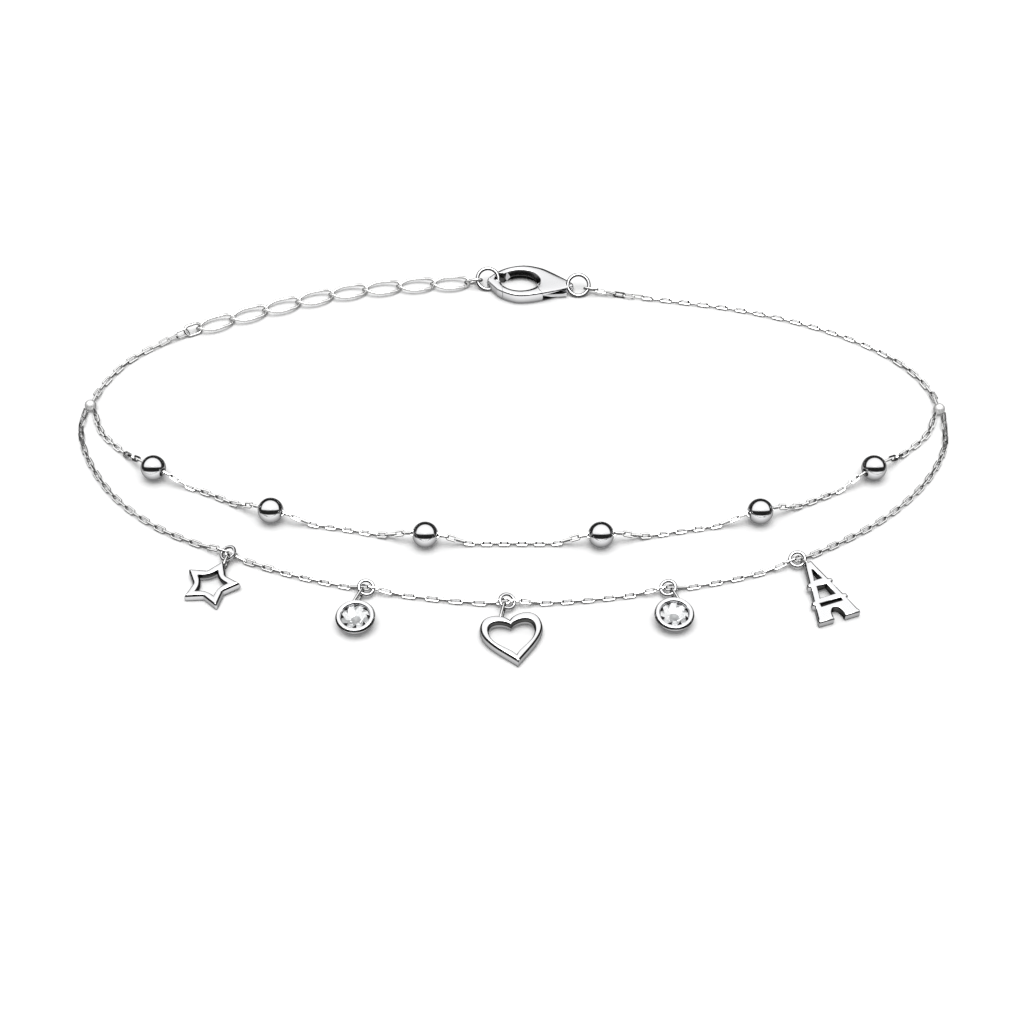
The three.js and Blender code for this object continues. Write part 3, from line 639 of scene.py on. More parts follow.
def hold_of(at, side, degrees):
    """Where a link holds a clasp ring and the wire's direction there."""
    centre, slope = clasp_ring_place(at)
    c, s = np.cos(np.radians(-degrees)), np.sin(np.radians(-degrees))
    radius = (CLASP_RING[0] - CLASP_RING[1]) / 2
    return centre + slope @ np.array([side * c, s, 0]) * radius, slope @ np.array([-side * s, c, 0])


def inner_half(link):
    """Half of a link's inner length."""
    return link[0] / 2 - link[-1]


def strand(points, marks, bump):
    """A strand's route from ball to ball, with a bump at each mark: a point's x and a step on."""
    route = Route(points)
    places = [route.find(x) + step for x, step in marks]
    route.bumps = [(at, *BALL_BUMP) for at in (0.0, route.length)]
    route.bumps += [(at, *bump) for at in places]
    return route, places


def outer_route():
    """The outer strand's route and the places of its held links."""
    marks = [(charm.x, charm.side * HELD_ALONG) for charm in CHARMS.values()]
    return strand(OUTER_ROUTE, marks, HELD_BUMP)


def inner_route():
    """The inner strand's route and the places of its beads."""
    return strand(INNER_ROUTE, [(x, 0.0) for x in BEAD_XS], BEAD_BUMP)


def extender_places():
    """The extender's route, and from right to left the places of its small link, its oval links,
    its other small link and the left chain's end link."""
    hold, _ = hold_of(CATCH_RING_AT, -1, CATCH_HOLD)
    route = Route([*EXTENDER_ROUTE, tuple(hold[:2])])
    small, oval, end = (inner_half(link) for link in (SMALL_LINK, OVAL_LINK, END_LINK))
    steps = [small - CLASP_RING[1] / 2, small + oval, *[2 * oval] * (OVAL_COUNT - 1),
             oval + small, small + end]
    places = route.length - np.cumsum(np.array(steps) - SLACK)
    route.bumps = [(0.0, *BALL_BUMP), (places[-1], SMALL_LINK_HEIGHT, *END_FADE)]
    return route, places


# ---- Finishes --------------------------------------------------------------------------------


class Value:
    """A number from a shader socket. Python's operators on it add Math nodes."""

    def __init__(self, tree, socket):
        self.tree = tree
        self.socket = socket

    def math(self, operation, a, b):
        """The result of a Math node on two values."""
        return self.tree.node("ShaderNodeMath", {"operation": operation}, {0: a, 1: b})[0]

    def __add__(self, other):
        return self.math("ADD", self, other)

    def __radd__(self, other):
        return self.math("ADD", other, self)

    def __sub__(self, other):
        return self.math("SUBTRACT", self, other)

    def __rsub__(self, other):
        return self.math("SUBTRACT", other, self)

    def __mul__(self, other):
        return self.math("MULTIPLY", self, other)

    def __rmul__(self, other):
        return self.math("MULTIPLY", other, self)


class Tree:
    """A node tree that is being written."""

    def __init__(self, tree):
        self.tree = tree
        self.tree.nodes.clear()

    def node(self, kind, settings=None, inputs=None):
        """Adds a node, sets its settings and then its sockets, and returns its outputs."""
        made = self.tree.nodes.new(kind)
        for key, value in (settings or {}).items():
            setattr(made, key, value)
        for key, value in (inputs or {}).items():
            if isinstance(value, Value):
                self.tree.links.new(value.socket, made.inputs[key])
            else:
                made.inputs[key].default_value = value
        return [Value(self, socket) for socket in made.outputs]

    def noise(self, vector, scale, detail=2.0, roughness=0.5):
        """A noise from 0 to 1 at features of about one over the scale, in metres."""
        inputs = {"Vector": vector, "Scale": scale, "Detail": detail, "Roughness": roughness}
        return self.node("ShaderNodeTexNoise", {}, inputs)[0]

    def blend(self, factor, a, b):
        """A colour between two colours."""
        inputs = {0: factor, 6: a, 7: b}
        return self.node("ShaderNodeMix", {"data_type": "RGBA"}, inputs)[2]

    def ramp(self, value, start, end, low=0.0, high=1.0, kind="SMOOTHSTEP"):
        """From low to high, smoothly or evenly, while a value goes from start to end."""
        inputs = {"Value": value, "From Min": start, "From Max": end, "To Min": low, "To Max": high}
        return self.node("ShaderNodeMapRange", {"interpolation_type": kind}, inputs)[0]

    def principled(self, inputs):
        """Ends a material with a Principled shader of these sockets."""
        shader = self.node("ShaderNodeBsdfPrincipled", {}, inputs)[0]
        self.node("ShaderNodeOutputMaterial", {}, {"Surface": shader})


def new_material(name):
    """The empty tree of a new material, and its Object coordinates."""
    material = bpy.data.materials.new(name)
    material.use_nodes = True
    tree = Tree(material.node_tree)
    return tree, tree.node("ShaderNodeTexCoord")[3]


def rgba(colour, tone=1.0):
    """A colour times a tone, opaque."""
    return (*(tone * part for part in colour), 1)


def silver_material(name, sizes, scratch, haze, tone):
    """Polished silver: a faint cloudiness in colour and gloss, fine hairlines from polishing that
    run two ways, and a slight unevenness of the buffed surface."""
    tree, place = new_material(name)
    cloud = tree.noise(place, 420.0, 3.0)
    grain = tree.noise(place, 9000.0, 2.0)
    hairs = 0.0
    for scale in HAIRLINES:
        stretched = tree.node("ShaderNodeMapping", {}, {"Vector": place, "Scale": scale})[0]
        hairs = tree.noise(stretched, 1.0, 3.0, 0.6) + hairs
    colour = tree.blend(cloud, rgba(sizes.silver_dark, tone), rgba(sizes.silver_light, tone))
    gloss = sizes.silver_roughness + haze + 0.03 * cloud + 0.02 * hairs * scratch
    height = 0.5 * hairs * scratch + 0.25 * grain + 2.0 * cloud
    bump = {"Strength": 0.12, "Distance": 0.000004, "Height": height}
    tree.principled({
        "Base Color": colour, "Metallic": 1.0, "Roughness": gloss,
        "Normal": tree.node("ShaderNodeBump", {}, bump)[0],
        "Specular Tint": rgba(sizes.silver_edge),
    })


def crystal_material(name, sizes):
    """Clear faceted stone: a high refraction, and a very faint tint and haze that vary in it."""
    tree, place = new_material(name)
    cloud = tree.noise(place, 900.0, 2.0)
    colour = tree.blend(cloud, rgba(sizes.crystal_color), (0.985, 0.995, 1.0, 1))
    tree.principled({
        "Base Color": colour, "Roughness": 0.01 + 0.02 * cloud, "IOR": STONE_INDEX,
        "Transmission Weight": 1.0,
    })


def foil_material(name, tone):
    """The mirrored back of a stone: a foil of a tone with a faint unevenness. At a low tone it is a
    painted dark reflection on a facet.
    """
    tree, place = new_material(name)
    cloud = tree.noise(place, 2500.0, 2.0)
    colour = tree.blend(cloud, rgba([0.93] * 3, tone), rgba([1.0] * 3, tone))
    tree.principled({"Base Color": colour, "Metallic": 1.0, "Roughness": 0.02 + 0.04 * cloud})


def floor_material(name, sizes):
    """Matt white paper: a faint mottling in tone and gloss."""
    tree, place = new_material(name)
    cloud = tree.noise(place, 40.0, 4.0)
    colour = tree.blend(cloud, rgba(sizes.floor_color, 0.99), rgba(sizes.floor_color))
    roughness = 0.75 + 0.1 * cloud
    tree.principled({"Base Color": colour, "Roughness": roughness, "Specular IOR Level": 0.2})


# ---- Settings --------------------------------------------------------------------------------


class BraceletSettings(bpy.types.PropertyGroup):
    """Sizes and colours of the bracelet's looks."""

    link_width: bpy.props.FloatProperty(
        name="Link Width", description="Outer width of a fine link",
        default=0.00061, unit="LENGTH", precision=5)
    link_wire: bpy.props.FloatProperty(
        name="Link Wire", description="Wire diameter of a fine link",
        default=0.000165, unit="LENGTH", precision=6)
    outer_pitch: bpy.props.FloatProperty(
        name="Outer Pitch", description="Step from link to link on the outer and back strands",
        default=0.00093, unit="LENGTH", precision=5)
    inner_pitch: bpy.props.FloatProperty(
        name="Inner Pitch", description="Step from link to link on the inner strand",
        default=0.000785, unit="LENGTH", precision=5)
    bead_across: bpy.props.FloatProperty(
        name="Bead Diameter", description="Diameter of a round bead",
        default=0.00225, unit="LENGTH", precision=5)
    ball_across: bpy.props.FloatProperty(
        name="Ball Diameter", description="Diameter of a junction ball",
        default=0.00106, unit="LENGTH", precision=5)
    silver_light: bpy.props.FloatVectorProperty(
        name="Silver", description="Brighter tone of the silver",
        default=(0.965, 0.962, 0.955), subtype="COLOR", min=0, max=1)
    silver_dark: bpy.props.FloatVectorProperty(
        name="Silver Shade", description="Darker tone of the silver",
        default=(0.925, 0.925, 0.922), subtype="COLOR", min=0, max=1)
    silver_edge: bpy.props.FloatVectorProperty(
        name="Silver Edge", description="Tone of the silver at grazing angles",
        default=(0.1, 0.1, 0.1), subtype="COLOR", min=0, max=1)
    silver_roughness: bpy.props.FloatProperty(
        name="Silver Roughness", description="Lowest roughness of the polished silver",
        default=0.03, subtype="FACTOR", min=0, max=1)
    crystal_color: bpy.props.FloatVectorProperty(
        name="Crystal", description="Tint of the stones",
        default=(0.96, 0.98, 0.99), subtype="COLOR", min=0, max=1)
    floor_color: bpy.props.FloatVectorProperty(
        name="Floor", description="Colour of the surface",
        default=(0.93, 0.93, 0.93), subtype="COLOR", min=0, max=1)


def settings():
    """The scene's bracelet settings."""
    return bpy.context.scene.bracelet


# ---- Pieces ----------------------------------------------------------------------------------


class BRACELET_OT_finishes(bpy.types.Operator):
    """Make the polished silver, stone and floor materials"""

    bl_idname = "bracelet.finishes"
    bl_label = "Finishes"

    def execute(self, context):
        sizes = settings()
        for name, (scratch, haze, tone) in SILVERS.items():
            silver_material(name, sizes, scratch, haze, tone)
        crystal_material("crystal", sizes)
        for name, tone in FOILS.items():
            foil_material(name, tone)
        floor_material("floor", sizes)
        return {"FINISHED"}


class BRACELET_OT_chains(bpy.types.Operator):
    """Lay the links of the four strands of fine chain along their routes"""

    bl_idname = "bracelet.chains"
    bl_label = "Fine Chains"

    def execute(self, context):
        sizes = settings()
        route, held = outer_route()
        s = stations([OUTER_START, *held, route.length - OUTER_START], sizes.outer_pitch / MM)
        twists = [(at, HELD_ROLL - ROLL_UP, HELD_FADE) for at in held]
        self.chain("outer_chain", "outer_strand", chain_links(route, s, twists, OUTER_WIRE_FLAT))

        route, beads = inner_route()
        s = stations([INNER_START, *beads, route.length - INNER_START], sizes.inner_pitch / MM)
        self.chain("inner_chain", "inner_strand", chain_links(route, s))

        hold, across = hold_of(TAIL_RING_AT, 1, TAIL_HOLD)
        route = Route([tuple(hold[:2]), *BACK_RIGHT_ROUTE])
        end_at = inner_half(END_LINK) - CLASP_RING[1] / 2 - SLACK
        route.bumps = [(end_at, hold[2], *END_FADE), (route.length, *BALL_BUMP)]
        links = self.back_links(route, end_at, route.length - OUTER_START, across)
        self.chain("back_right_chain", "back_chain_right", links)

        route, places = extender_places()
        across = turned_wire(route.directions(places[-2])[0], -OVAL_TWIST)
        links = self.back_links(route, places[-1], OUTER_START, across)
        self.chain("back_left_chain", "back_chain_left", links)
        return {"FINISHED"}

    def chain(self, name, node, links):
        """Links of fine chain in place of a node's tube."""
        # The wire's corner faces get the darker silver: painted dark reflections.
        dress(surface(name, links, painted_shade=PAINTED_SHADE_CORNERS), [node], "silver_wire")

    def back_links(self, route, end_at, last, opening):
        """The end link, and fine links from it to the junction, whose roll starts square to it."""
        pitch = settings().outer_pitch / MM
        side = np.sign(last - end_at)
        along = route.directions(end_at)[0]
        end_link = lay(straight_link(*END_LINK, sides=8), route.points(end_at)[0], along, opening)
        first = end_at + side * (inner_half(END_LINK) + pitch / 2 - LINK_PLAY)
        s = stations([first, last], side * pitch)
        extra = (roll_of(along, opening) - ROLL_UP + 90) % 180 - 90
        return [end_link, *chain_links(route, s, [(first, extra, END_TWIST_FADE)])]


class BRACELET_OT_beads(bpy.types.Operator):
    """Turn the round beads, drilled along the strand, and the two satin junction balls"""

    bl_idname = "bracelet.beads"
    bl_label = "Beads And Balls"

    def execute(self, context):
        radius = settings().bead_across / MM / 2
        end = 90 - np.degrees(np.arcsin(ROUND_END * BORE / radius))
        curve = arc(-end, end, 29) * radius
        lip = [(share * BORE, z + curve[-1, 1]) for share, z in LIP]
        profile = np.concatenate([curve, lip, [(r, -z) for r, z in reversed(lip)]])
        bead = lathe(profile) @ np.array([[0, 1, 0], [0, 0, 1], [1, 0, 0]])
        route, places = inner_route()
        for k, at in enumerate(places):
            grid = lay(bead, route.points(at)[0], route.directions(at)[0], UP)
            dress(surface(f"bead_{k + 1}_polished", [grid]), [f"bead_{k + 1}"])
        ball = lathe(arc(-90, 90, 25) * settings().ball_across / MM / 2, 36)
        for side, at in (("left", LEFT_BALL), ("right", RIGHT_BALL)):
            obj = surface(f"ball_{side}", [ball + [*at, BALL_HEIGHT]], closed=False)
            dress(obj, [f"junction_{side}"], "silver_satin")
        return {"FINISHED"}


class BRACELET_OT_extender(bpy.types.Operator):
    """Bend the extender's twisted oval links and its two small end links"""

    bl_idname = "bracelet.extender"
    bl_label = "Extender"

    def execute(self, context):
        hold, across = hold_of(CATCH_RING_AT, -1, CATCH_HOLD)
        route, (first, *ovals, last, _) = extender_places()
        pull = route.level(first) * 2 * inner_half(SMALL_LINK) + UP * (hold[2] - OVAL_HEIGHT)
        centre = [*route.points(first)[0][:2], (hold[2] + OVAL_HEIGHT) / 2]
        self.small_link("small_link_right", "extender_link_10", centre, pull, across)
        oval = oval_link(*OVAL_LINK, OVAL_TWIST, OVAL_POINT)
        for number, at in zip(range(OVAL_COUNT, 0, -1), ovals):
            centre = [*route.points(at)[0][:2], OVAL_HEIGHT]
            obj = surface(f"oval_link_{number}", [lay(oval, centre, route.level(at), UP)])
            dress(obj, [f"extender_link_{number + 1:02d}"], "silver_wire")
        centre = [*route.points(last)[0][:2], SMALL_LINK_HEIGHT]
        along = route.level(last)
        across = turned_wire(along, -OVAL_TWIST)
        self.small_link("small_link_left", "extender_link_01", centre, along, across)
        return {"FINISHED"}

    def small_link(self, name, node, centre, along, opening):
        """One of the two links at the extender's ends."""
        grid = lay(straight_link(*SMALL_LINK), centre, along, opening)
        # Faces between the wire's crowns get the darker silver: painted dark reflections.
        dress(surface(name, [grid], painted_shade=edges_of(12)), [node], "silver_wire")


def clasp_ring(at, around, play=0.0):
    """A clasp ring in its place, with some play round it."""
    centre, slope = clasp_ring_place(at)
    across, thick = CLASP_RING
    return ring(across + play, thick + play, around) @ slope.T + centre


class BRACELET_OT_rings(bpy.types.Operator):
    """Bend the clasp's two rings and the five jump rings"""

    bl_idname = "bracelet.rings"
    bl_label = "Rings"

    def execute(self, context):
        # Faces between each ring wire's crowns get the darker silver: painted dark reflections.
        for node, at in (("catch_ring", CATCH_RING_AT), ("clasp_ring", TAIL_RING_AT)):
            dress(surface(f"{node}_wire", [clasp_ring(at, 64)], painted_shade=edges_of(16)), [node])
        for k, charm in enumerate(CHARMS.values()):
            origin, base = charm_base(charm.x)
            centre = origin + base @ (np.array(JUMP_RING_AT) * [charm.side, 1, 1])
            slope = turn("Y", charm.side * JUMP_RING_ROLL) @ turn("X", JUMP_RING_SLOPE)
            grid = ring(*JUMP_RING) @ (base * [1, -1, 1] @ slope).T + centre
            dress(surface(f"jump_ring_{k + 1}", [grid], painted_shade=edges_of(16)), [f"charm_ring_{k + 1}"])
        return {"FINISHED"}


def charm_base(x):
    """The outer strand's floor point at x, and the directions along it, out from it and up."""
    route, _ = outer_route()
    s = route.find(x)
    along = route.level(s)
    return route.points(s)[0] * [1, 1, 0], np.stack([along, outward_of(along), UP], 1)


def charm_loop(name, charm):
    """A charm's upright loop of wire, from its jump ring to the charm's body."""
    origin, base = charm_base(charm.x)
    back = origin + base @ (np.array(LOOP_AT) * [charm.side, 1, 1])
    yaw = np.radians(LOOP_YAW * charm.side)
    outward = base @ np.array([-np.sin(yaw), np.cos(yaw), 0])
    width, thick = LOOP
    centre = back + outward * (charm.loop / 2 - (width - thick) / 2)
    link = straight_link(charm.loop + thick, width, thick, 40, 16)
    grid = lay(link, centre, outward, np.cross(outward, UP))
    # Faces between the wire's crowns get the darker silver: painted dark reflections.
    dress(surface(name, [grid], painted_shade=edges_of(16)), [], "silver_wire")


def stand(grid, charm, low=None):
    """A charm that was made face up at the origin, tilted towards its front, lowered to the
    surface, turned and put in its place, and by how much it was lowered."""
    raised = grid @ turn("X", charm.tilt).T
    low = raised[..., 2].min() if low is None else low
    return (raised - [0, 0, low]) @ turn("Z", charm.turn).T + [*charm.place, 0], low


def cut_charm(name, node, outer, inner, section):
    """A charm that is a band between two outlines, with its loop."""
    charm = CHARMS[node]
    grid, _ = stand(band(resample(outer, BAND_POINTS), inner, **section), charm)
    # Foot, chamfer and opening's edge get the darker silver: painted shade and dark reflections.
    dress(surface(name, [grid], painted_shade=rims(grid)), [node])
    charm_loop(f"{name}_loop", charm)


class BRACELET_OT_star(bpy.types.Operator):
    """Cut the open star and its loop"""

    bl_idname = "bracelet.star"
    bl_label = "Star"

    def execute(self, context):
        """The outline has rounded tips and notches, and the opening's sides are parabolas."""
        direction = np.stack(circle(10, 2.5), -1)
        corners = direction * np.tile(STAR_REACH, 5)[:, None]
        outer = rounded(corners, np.tile(STAR_CUTS, 5), 8)
        tips, pulls = STAR_OPENING[0] * direction[::2], STAR_OPENING[1] * direction[1::2]
        t = (np.arange(24) / 24)[None, :, None]
        sides = tips[:, None] * (1 - t) ** 2 + 2 * pulls[:, None] * t * (1 - t)
        inner = (sides + np.roll(tips, -1, axis=0)[:, None] * t**2).reshape(-1, 2)
        cut_charm("star", "star_charm", outer, inner, STAR_BAND)
        return {"FINISHED"}


def heart_outline(half, notch, tip, lobe, widest, count=26):
    """A heart from its notch down the left side to the tip and back, in four cubics."""
    upper = np.array([(0, notch), (0.22 * half, lobe + 0.12), (half, lobe + 0.42), (half, widest)])
    lower = np.array([(half, widest), (half, widest - 1.35), (0.26 * half, tip + 0.85), (0, tip)])
    cubics = (upper * [-1, 1], lower * [-1, 1], lower[::-1], upper[::-1])
    return np.concatenate([bezier(cubic, count) for cubic in cubics])


class BRACELET_OT_heart(bpy.types.Operator):
    """Cut the open heart and its loop"""

    bl_idname = "bracelet.heart"
    bl_label = "Heart"

    def execute(self, context):
        outer, inner = heart_outline(*HEART), heart_outline(*HEART_OPENING)
        cut_charm("heart", "heart_charm", outer, inner, HEART_BAND)
        return {"FINISHED"}


def tower_curve():
    """The tower's outline and windows as a flat curve, which is thickened and bevelled."""
    arch = [bezier(TOWER_ARCH, 12)[1:], bezier(np.array(TOWER_ARCH[::-1]) * [-1, 1], 12)]
    outline = np.concatenate([TOWER_SIDE, *arch, TOWER_SIDE[::-1] * [-1, 1]])
    shape = bpy.data.curves.new("tower_outline", "CURVE")
    shape.dimensions = "2D"
    shape.fill_mode = "BOTH"
    shape.extrude = TOWER_THICK / 2 - TOWER_BEVEL
    shape.bevel_depth = TOWER_BEVEL
    shape.bevel_resolution = 2
    shape.offset = -TOWER_BEVEL
    for loop in (outline, *TOWER_WINDOWS):
        spline = shape.splines.new("POLY")
        spline.points.add(len(loop) - 1)
        spline.use_cyclic_u = True
        points = np.insert(np.array(loop) * [1, -1], 2, [[0], [1]], axis=1)
        spline.points.foreach_set("co", points.ravel())
    return shape


def read(items, name):
    """A property of three numbers of a mesh's points or faces, as rows."""
    values = np.empty(len(items) * 3)
    items.foreach_get(name, values)
    return values.reshape(-1, 3)


class BRACELET_OT_tower(bpy.types.Operator):
    """Cut the lattice tower and its loop"""

    bl_idname = "bracelet.tower"
    bl_label = "Tower"

    def execute(self, context):
        """The chamfers and the windows' walls get the darker silver, painted shade and dark
        reflections:
        the faces that are neither flat nor upright, and the upright ones well inside the outline."""
        cutter = bpy.data.objects.new("tower_outline", tower_curve())
        mesh = bpy.data.meshes.new_from_object(cutter)
        bpy.data.objects.remove(cutter)
        finish_mesh(mesh, sharp=35)
        lean, middles = read(mesh.polygons, "normal")[:, 2], read(mesh.polygons, "center")
        half_width = np.interp(-middles[:, 1], TOWER_SIDE[:, 1], TOWER_SIDE[:, 0])
        inside = np.abs(middles[:, 0]) < half_width - 0.15
        level, upright = 0.95, 0.1
        chamfer = (lean > upright) & (lean < level)
        set_materials(mesh, chamfer | (inside & (np.abs(lean) < level)))
        points = read(mesh.vertices, "co") + [0, 0, TOWER_THICK / 2]
        grid, _ = stand(points, CHARMS["tower_charm"])
        mesh.vertices.foreach_set("co", (grid * MM).ravel())
        mesh.name = "tower"
        dress(new_object("tower", mesh), ["tower_charm"])
        charm_loop("tower_loop", CHARMS["tower_charm"])
        return {"FINISHED"}


def brilliant(across, table, crown, girdle, pavilion):
    """A round brilliant in sixteen columns: the table's corners, the kites and the main facets lie
    on even columns and the star points and halves on odd ones. Between two rows each pair of
    columns has two triangles, which part along one diagonal or the other."""
    even = np.arange(16) % 2 == 0
    middle = np.cos(np.pi / 8)
    radius = across / 2
    star = 0.5 * (table / 2 + radius)
    rows = [
        (np.where(even, table / 2, table / 2 * middle), crown),
        (np.where(even, star * middle, star), 0.5 * crown),
        (np.full(16, radius), 0.0),
        (np.full(16, radius), -girdle),
    ]
    for share, depth in PAVILION_ROWS:
        reach = share * radius
        rows.append((np.where(even, reach * middle, reach), -girdle - depth * pavilion))
    c, s = circle(16)
    body = [flat(r * c, r * s) + [0, 0, z] for r, z in rows]
    points = np.concatenate([*body, [[0, 0, crown]], [[0, 0, -girdle - pavilion]]])
    top, tip = 96, 97
    around, beyond = np.arange(16), (np.arange(16) + 1) % 16
    a = np.arange(0, 16, 2)
    b, c = a + 1, (a + 2) % 16
    faces = [np.stack([np.full(16, top), around, beyond], -1)]
    for upper in (0, 16, 32, 48, 64):
        lower = upper + 16
        halves = ((0, 1, 2), (0, 2, 3)) if upper in (0, 48, 64) else ((0, 1, 3), (3, 1, 2))
        for one, two in ((a, b), (c, b)):
            quad = (one + upper, one + lower, two + lower, two + upper)
            faces += [np.stack([quad[k] for k in half], -1) for half in halves]
    faces.append(np.stack([np.full(16, tip), 80 + around, 80 + beyond], -1))
    return points, np.concatenate(faces)


class BRACELET_OT_bezels(bpy.types.Operator):
    """Turn the two round cups with their loops, and cut the stones in them"""

    bl_idname = "bracelet.bezels"
    bl_label = "Bezels And Stones"

    def execute(self, context):
        corners = np.array([(0.0, 0.0, 1e-4), *CUP, (0.0, 0.2, 1e-4)])
        profile = rounded(corners[:, :2], corners[:, 2], 4)[4:-4]
        profile[[0, -1], 0] = 0.0
        cup = lathe(profile, 72)
        stone, faces = brilliant(**STONE)
        stone = stone + [0, 0, SEAT + STONE["girdle"] + STONE_PLAY]
        for k in (1, 2):
            charm = CHARMS[f"bezel_{k}"]
            grid, low = stand(cup, charm)
            dress(surface(f"cup_{k}", [grid], closed=False, sharp=50), [f"bezel_{k}"])
            charm_loop(f"cup_{k}_loop", charm)
            points, _ = stand(stone, charm, low)
            mesh = bpy.data.meshes.new(f"brilliant_{k}")
            mesh.from_pydata((points * MM).tolist(), [], faces.tolist())
            finish_mesh(mesh, sharp=1)
            mesh.shade_flat()
            obj = new_object(f"brilliant_{k}", mesh)
            finish_with(obj, "crystal", *FOILS)
            dress(obj, [f"stone_{k}"], "crystal")
            # Dark and grey foils on some crown halves and pavilion facets: painted dark
            # reflections.
            set_materials(mesh, np.repeat(*zip(*STONE_FACES)))
        return {"FINISHED"}


def sector(inner, outer, above):
    """A ring sector about the clasp's pin, from below the gate to an angle above its direction."""
    curve = arc(180 - above, 180 + GATE["below"], 40)
    return np.array(PIN) + np.concatenate([curve * inner, curve[::-1] * outer])


def clasp_leaf():
    """The clasp's leaf with its eye, whose wall is the farther of an ellipse and of the pocket that
    a ring sits in. The leaf falls to its tail as a smooth step."""
    centre = np.array(EYE[:2])
    closed = np.array([*CLASP_OUTLINE[-2:], *CLASP_OUTLINE, *CLASP_OUTLINE[:2]])
    span = 60
    outline = smooth_curve(closed, span)[2 * span : -2 * span - 1] - centre
    outer = resample(outline[::-1], 300)
    ray = np.stack(circle(400), -1)
    reach = 1 / np.hypot(ray[:, 0] / EYE[2], ray[:, 1] / EYE[3])
    to_pocket = np.array(POCKET[:2]) - centre
    near = ray @ to_pocket
    gap = near**2 - to_pocket @ to_pocket + POCKET[2] ** 2
    reach = np.maximum(reach, np.where(gap > 0, near + np.sqrt(np.maximum(gap, 0)), 0))
    swell = EYE_SWELL * smoothstep(np.sum(outer / SWELL_OVER, -1) + SWELL_START)
    grid = band(outer, ray * reach[:, None], swell=swell, **CLASP_BAND)
    grid[..., :2] += centre
    grid[..., 2] *= 1 - TAIL_FALL * smoothstep((grid[..., 0] - FALL_FROM) / FALL_OVER)
    return grid


def block(name, outline, low, high):
    """A tool to cut with: a prism's wall between two heights, and the points that close it."""
    centre = np.broadcast_to(np.mean(outline, axis=0), outline.shape)
    rows = [(centre, low), (outline, low), (outline, high), (centre, high)]
    grid = np.stack([np.insert(plan, 2, z, axis=1) for plan, z in rows])
    return surface(name, [grid], closed=False)


class BRACELET_OT_clasp(bpy.types.Operator):
    """Shape the lobster clasp's body and gate"""

    bl_idname = "bracelet.clasp"
    bl_label = "Clasp"

    def execute(self, context):
        """Body and gate are cut from one leaf, and the body keeps room for the gate's swing about
        the pin.
        """
        pin = np.array(PIN)
        inner, outer, above = GATE["inner"], GATE["outer"], GATE["above"]
        swung = sector(inner - GATE_PLAY, outer + GATE_PLAY, GATE["swing"] + above + 1)
        room = block("gate_room", swung, -1, 3)
        keep = block("gate_part", sector(inner, outer, above), -1, 3)
        slot = block("slot", np.array(SLOT) + pin, *SLOT_LEVELS)
        rooms = [surface("ring_room", [clasp_ring(at, 48, RING_PLAY)])
                 for at in (CATCH_RING_AT, TAIL_RING_AT)]
        plan = np.concatenate([TONGUE, TONGUE_ROUND * arc(45, 135, 12), [TONGUE_ROOT]]) + pin
        half = TONGUE_THICK / 2
        tongue = block("tongue", plan, TONGUE_MIDDLE - half, TONGUE_MIDDLE + half)

        leaf = clasp_leaf()
        # The eye's wall gets the darker silver: painted shade and dark reflections in the eye.
        body, gate = (surface(name, [leaf], painted_shade=inner_wall(leaf, True))
                      for name in ("clasp_cast", "gate_cast"))
        for cast in (body, gate):
            finish_with(cast, "silver", "silver_painted_shade")
        self.cut(body, "DIFFERENCE", room, slot, *rooms)
        dress(body, ["clasp_body"])
        self.cut(gate, "INTERSECT", keep)
        self.cut(gate, "UNION", tongue)
        dress(gate, ["clasp_lever"], "silver", "lever")
        for tool in (room, keep, slot, tongue, *rooms):
            bpy.data.objects.remove(tool)
        return {"FINISHED"}

    def cut(self, obj, operation, *tools):
        """A boolean step with each tool, applied to the object's mesh."""
        for tool in tools:
            made = obj.modifiers.new("cut", "BOOLEAN")
            made.operation = operation
            made.object = tool
            made.solver = "EXACT"
        evaluated = obj.evaluated_get(bpy.context.evaluated_depsgraph_get())
        mesh = bpy.data.meshes.new_from_object(evaluated)
        obj.modifiers.clear()
        obj.data = mesh
        finish_mesh(mesh, sharp=32)


# ---- Stage -----------------------------------------------------------------------------------


def studio(tree):
    """What the metal mirrors: a tent that is bright above a leaning edge and brighter at its top,
    a dark band below that edge, and a light part under the horizon that darkens towards the back.
    Matt surfaces get less of it."""
    direction = tree.node("ShaderNodeTexCoord")[0]
    _, y, z = tree.node("ShaderNodeSeparateXYZ", {}, {0: direction})
    front = tree.node("ShaderNodeMath", {"operation": "MINIMUM"}, {0: y, 1: 0.0})[0]
    over_edge = z - 0.46 * y + 1.34 * front
    bright = tree.ramp(over_edge, 0.12, 0.18, 0.015, 1.0)
    top = tree.ramp(over_edge, 0.25, 0.6, 0.0, 0.15)
    under = tree.ramp(-0.47 * front - z, 0.33, 0.4)
    towards_back = tree.ramp(0.6 * y - z, -0.3, 1.35, 1.0, 0.04, "LINEAR")
    matt = tree.node("ShaderNodeLightPath")[2]
    return (bright + top + under * towards_back) * (1.0 - 0.35 * matt)


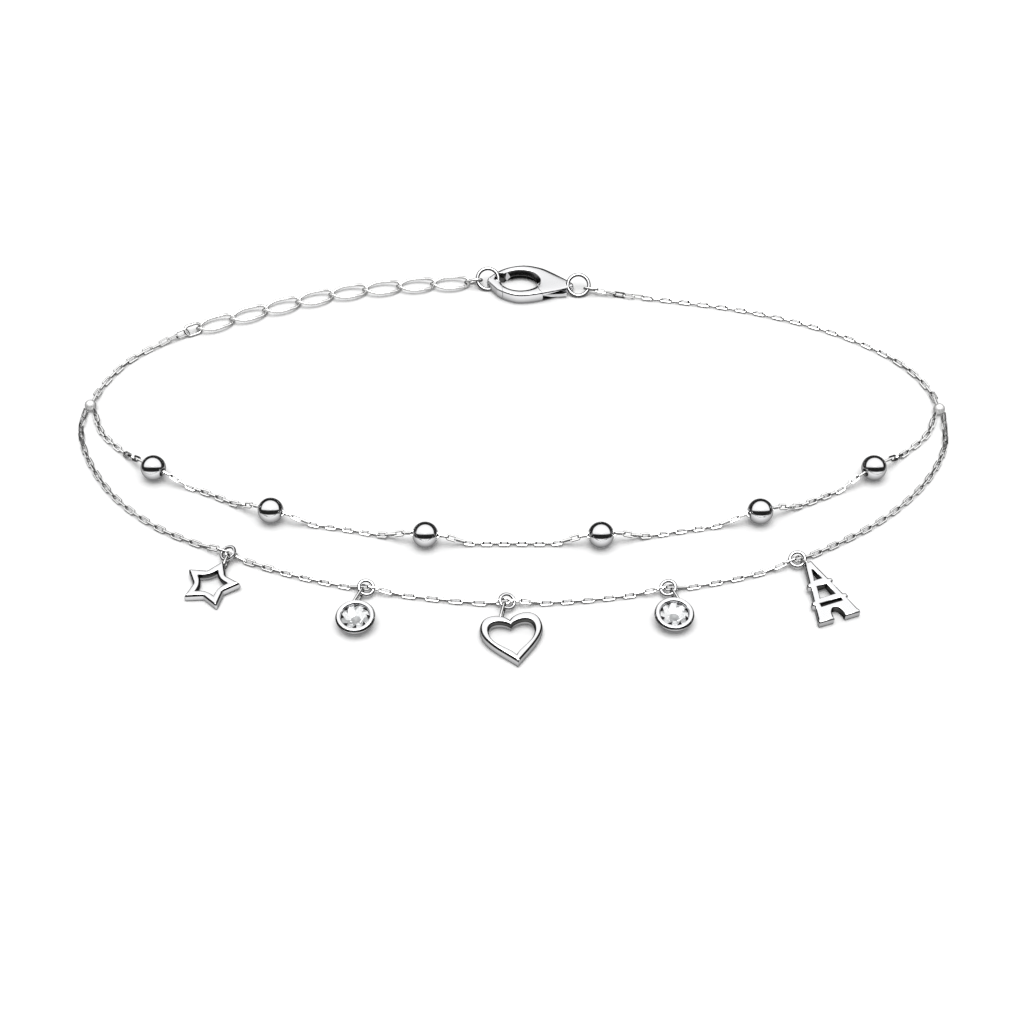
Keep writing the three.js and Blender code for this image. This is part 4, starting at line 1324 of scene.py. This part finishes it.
class BRACELET_OT_stage(bpy.types.Operator):
    """Set the floor, the soft light and the camera"""

    bl_idname = "bracelet.stage"
    bl_label = "Stage"

    def execute(self, context):
        scene = context.scene
        corners = np.array([(-1, -1, 0), (1, -1, 0), (1, 1, 0), (-1, 1, 0)]) * FLOOR_HALF
        mesh = bpy.data.meshes.new("floor")
        mesh.from_pydata(corners.tolist(), [], [(0, 1, 2, 3)])
        mesh.materials.append(bpy.data.materials["floor"])
        floor = new_object("floor", mesh)
        floor.visible_glossy = False

        world = bpy.data.worlds.new("studio")
        world.use_nodes = True
        scene.world = world
        tree = Tree(world.node_tree)
        light = {"Color": (1, 1, 1, 1), "Strength": studio(tree)}
        back = tree.node("ShaderNodeBackground", {}, light)[0]
        tree.node("ShaderNodeOutputWorld", {}, {"Surface": back})

        sun = bpy.data.lights.new("sun", "SUN")
        sun.energy = SUN_STRENGTH
        sun.angle = np.radians(SUN_SPREAD)
        new_object("sun", sun).rotation_euler = (np.radians(SUN_LEAN), 0, 0)

        camera = bpy.data.cameras.new("camera")
        camera.lens = LENS
        camera.sensor_width = 36
        camera.clip_start = 0.001
        camera.clip_end = 10
        eye = new_object("camera", camera)
        place, aim = np.array(CAMERA_AT) * MM, np.array(CAMERA_AIM) * MM
        eye.location = place
        eye.rotation_euler = (np.arctan2(aim[1] - place[1], place[2]), 0, 0)
        scene.camera = eye
        scene.view_settings.view_transform = "Standard"
        return {"FINISHED"}


class BRACELET_PT_panel(bpy.types.Panel):
    """The bracelet's pieces and settings"""

    bl_label = "Bracelet"
    bl_idname = "BRACELET_PT_panel"
    bl_space_type = "VIEW_3D"
    bl_region_type = "UI"
    bl_category = "Bracelet"

    def draw(self, context):
        for name in BraceletSettings.__annotations__:
            self.layout.prop(context.scene.bracelet, name)
        for step in STEPS:
            self.layout.operator(step.bl_idname)


STEPS = (
    BRACELET_OT_finishes,
    BRACELET_OT_stage,
    BRACELET_OT_chains,
    BRACELET_OT_beads,
    BRACELET_OT_extender,
    BRACELET_OT_rings,
    BRACELET_OT_star,
    BRACELET_OT_heart,
    BRACELET_OT_tower,
    BRACELET_OT_bezels,
    BRACELET_OT_clasp,
)
CLASSES = (BraceletSettings, *STEPS, BRACELET_PT_panel)


def register():
    """Adds the settings, the operators and the panel."""
    for made in CLASSES:
        bpy.utils.register_class(made)
    bpy.types.Scene.bracelet = bpy.props.PointerProperty(type=BraceletSettings)


def unregister():
    """Takes them out again."""
    del bpy.types.Scene.bracelet
    for made in reversed(CLASSES):
        bpy.utils.unregister_class(made)


def main():
    """Makes every piece in order."""
    register()
    for step in STEPS:
        area, name = step.bl_idname.split(".")
        getattr(getattr(bpy.ops, area), name)()


if __name__ == "__main__":
    main()
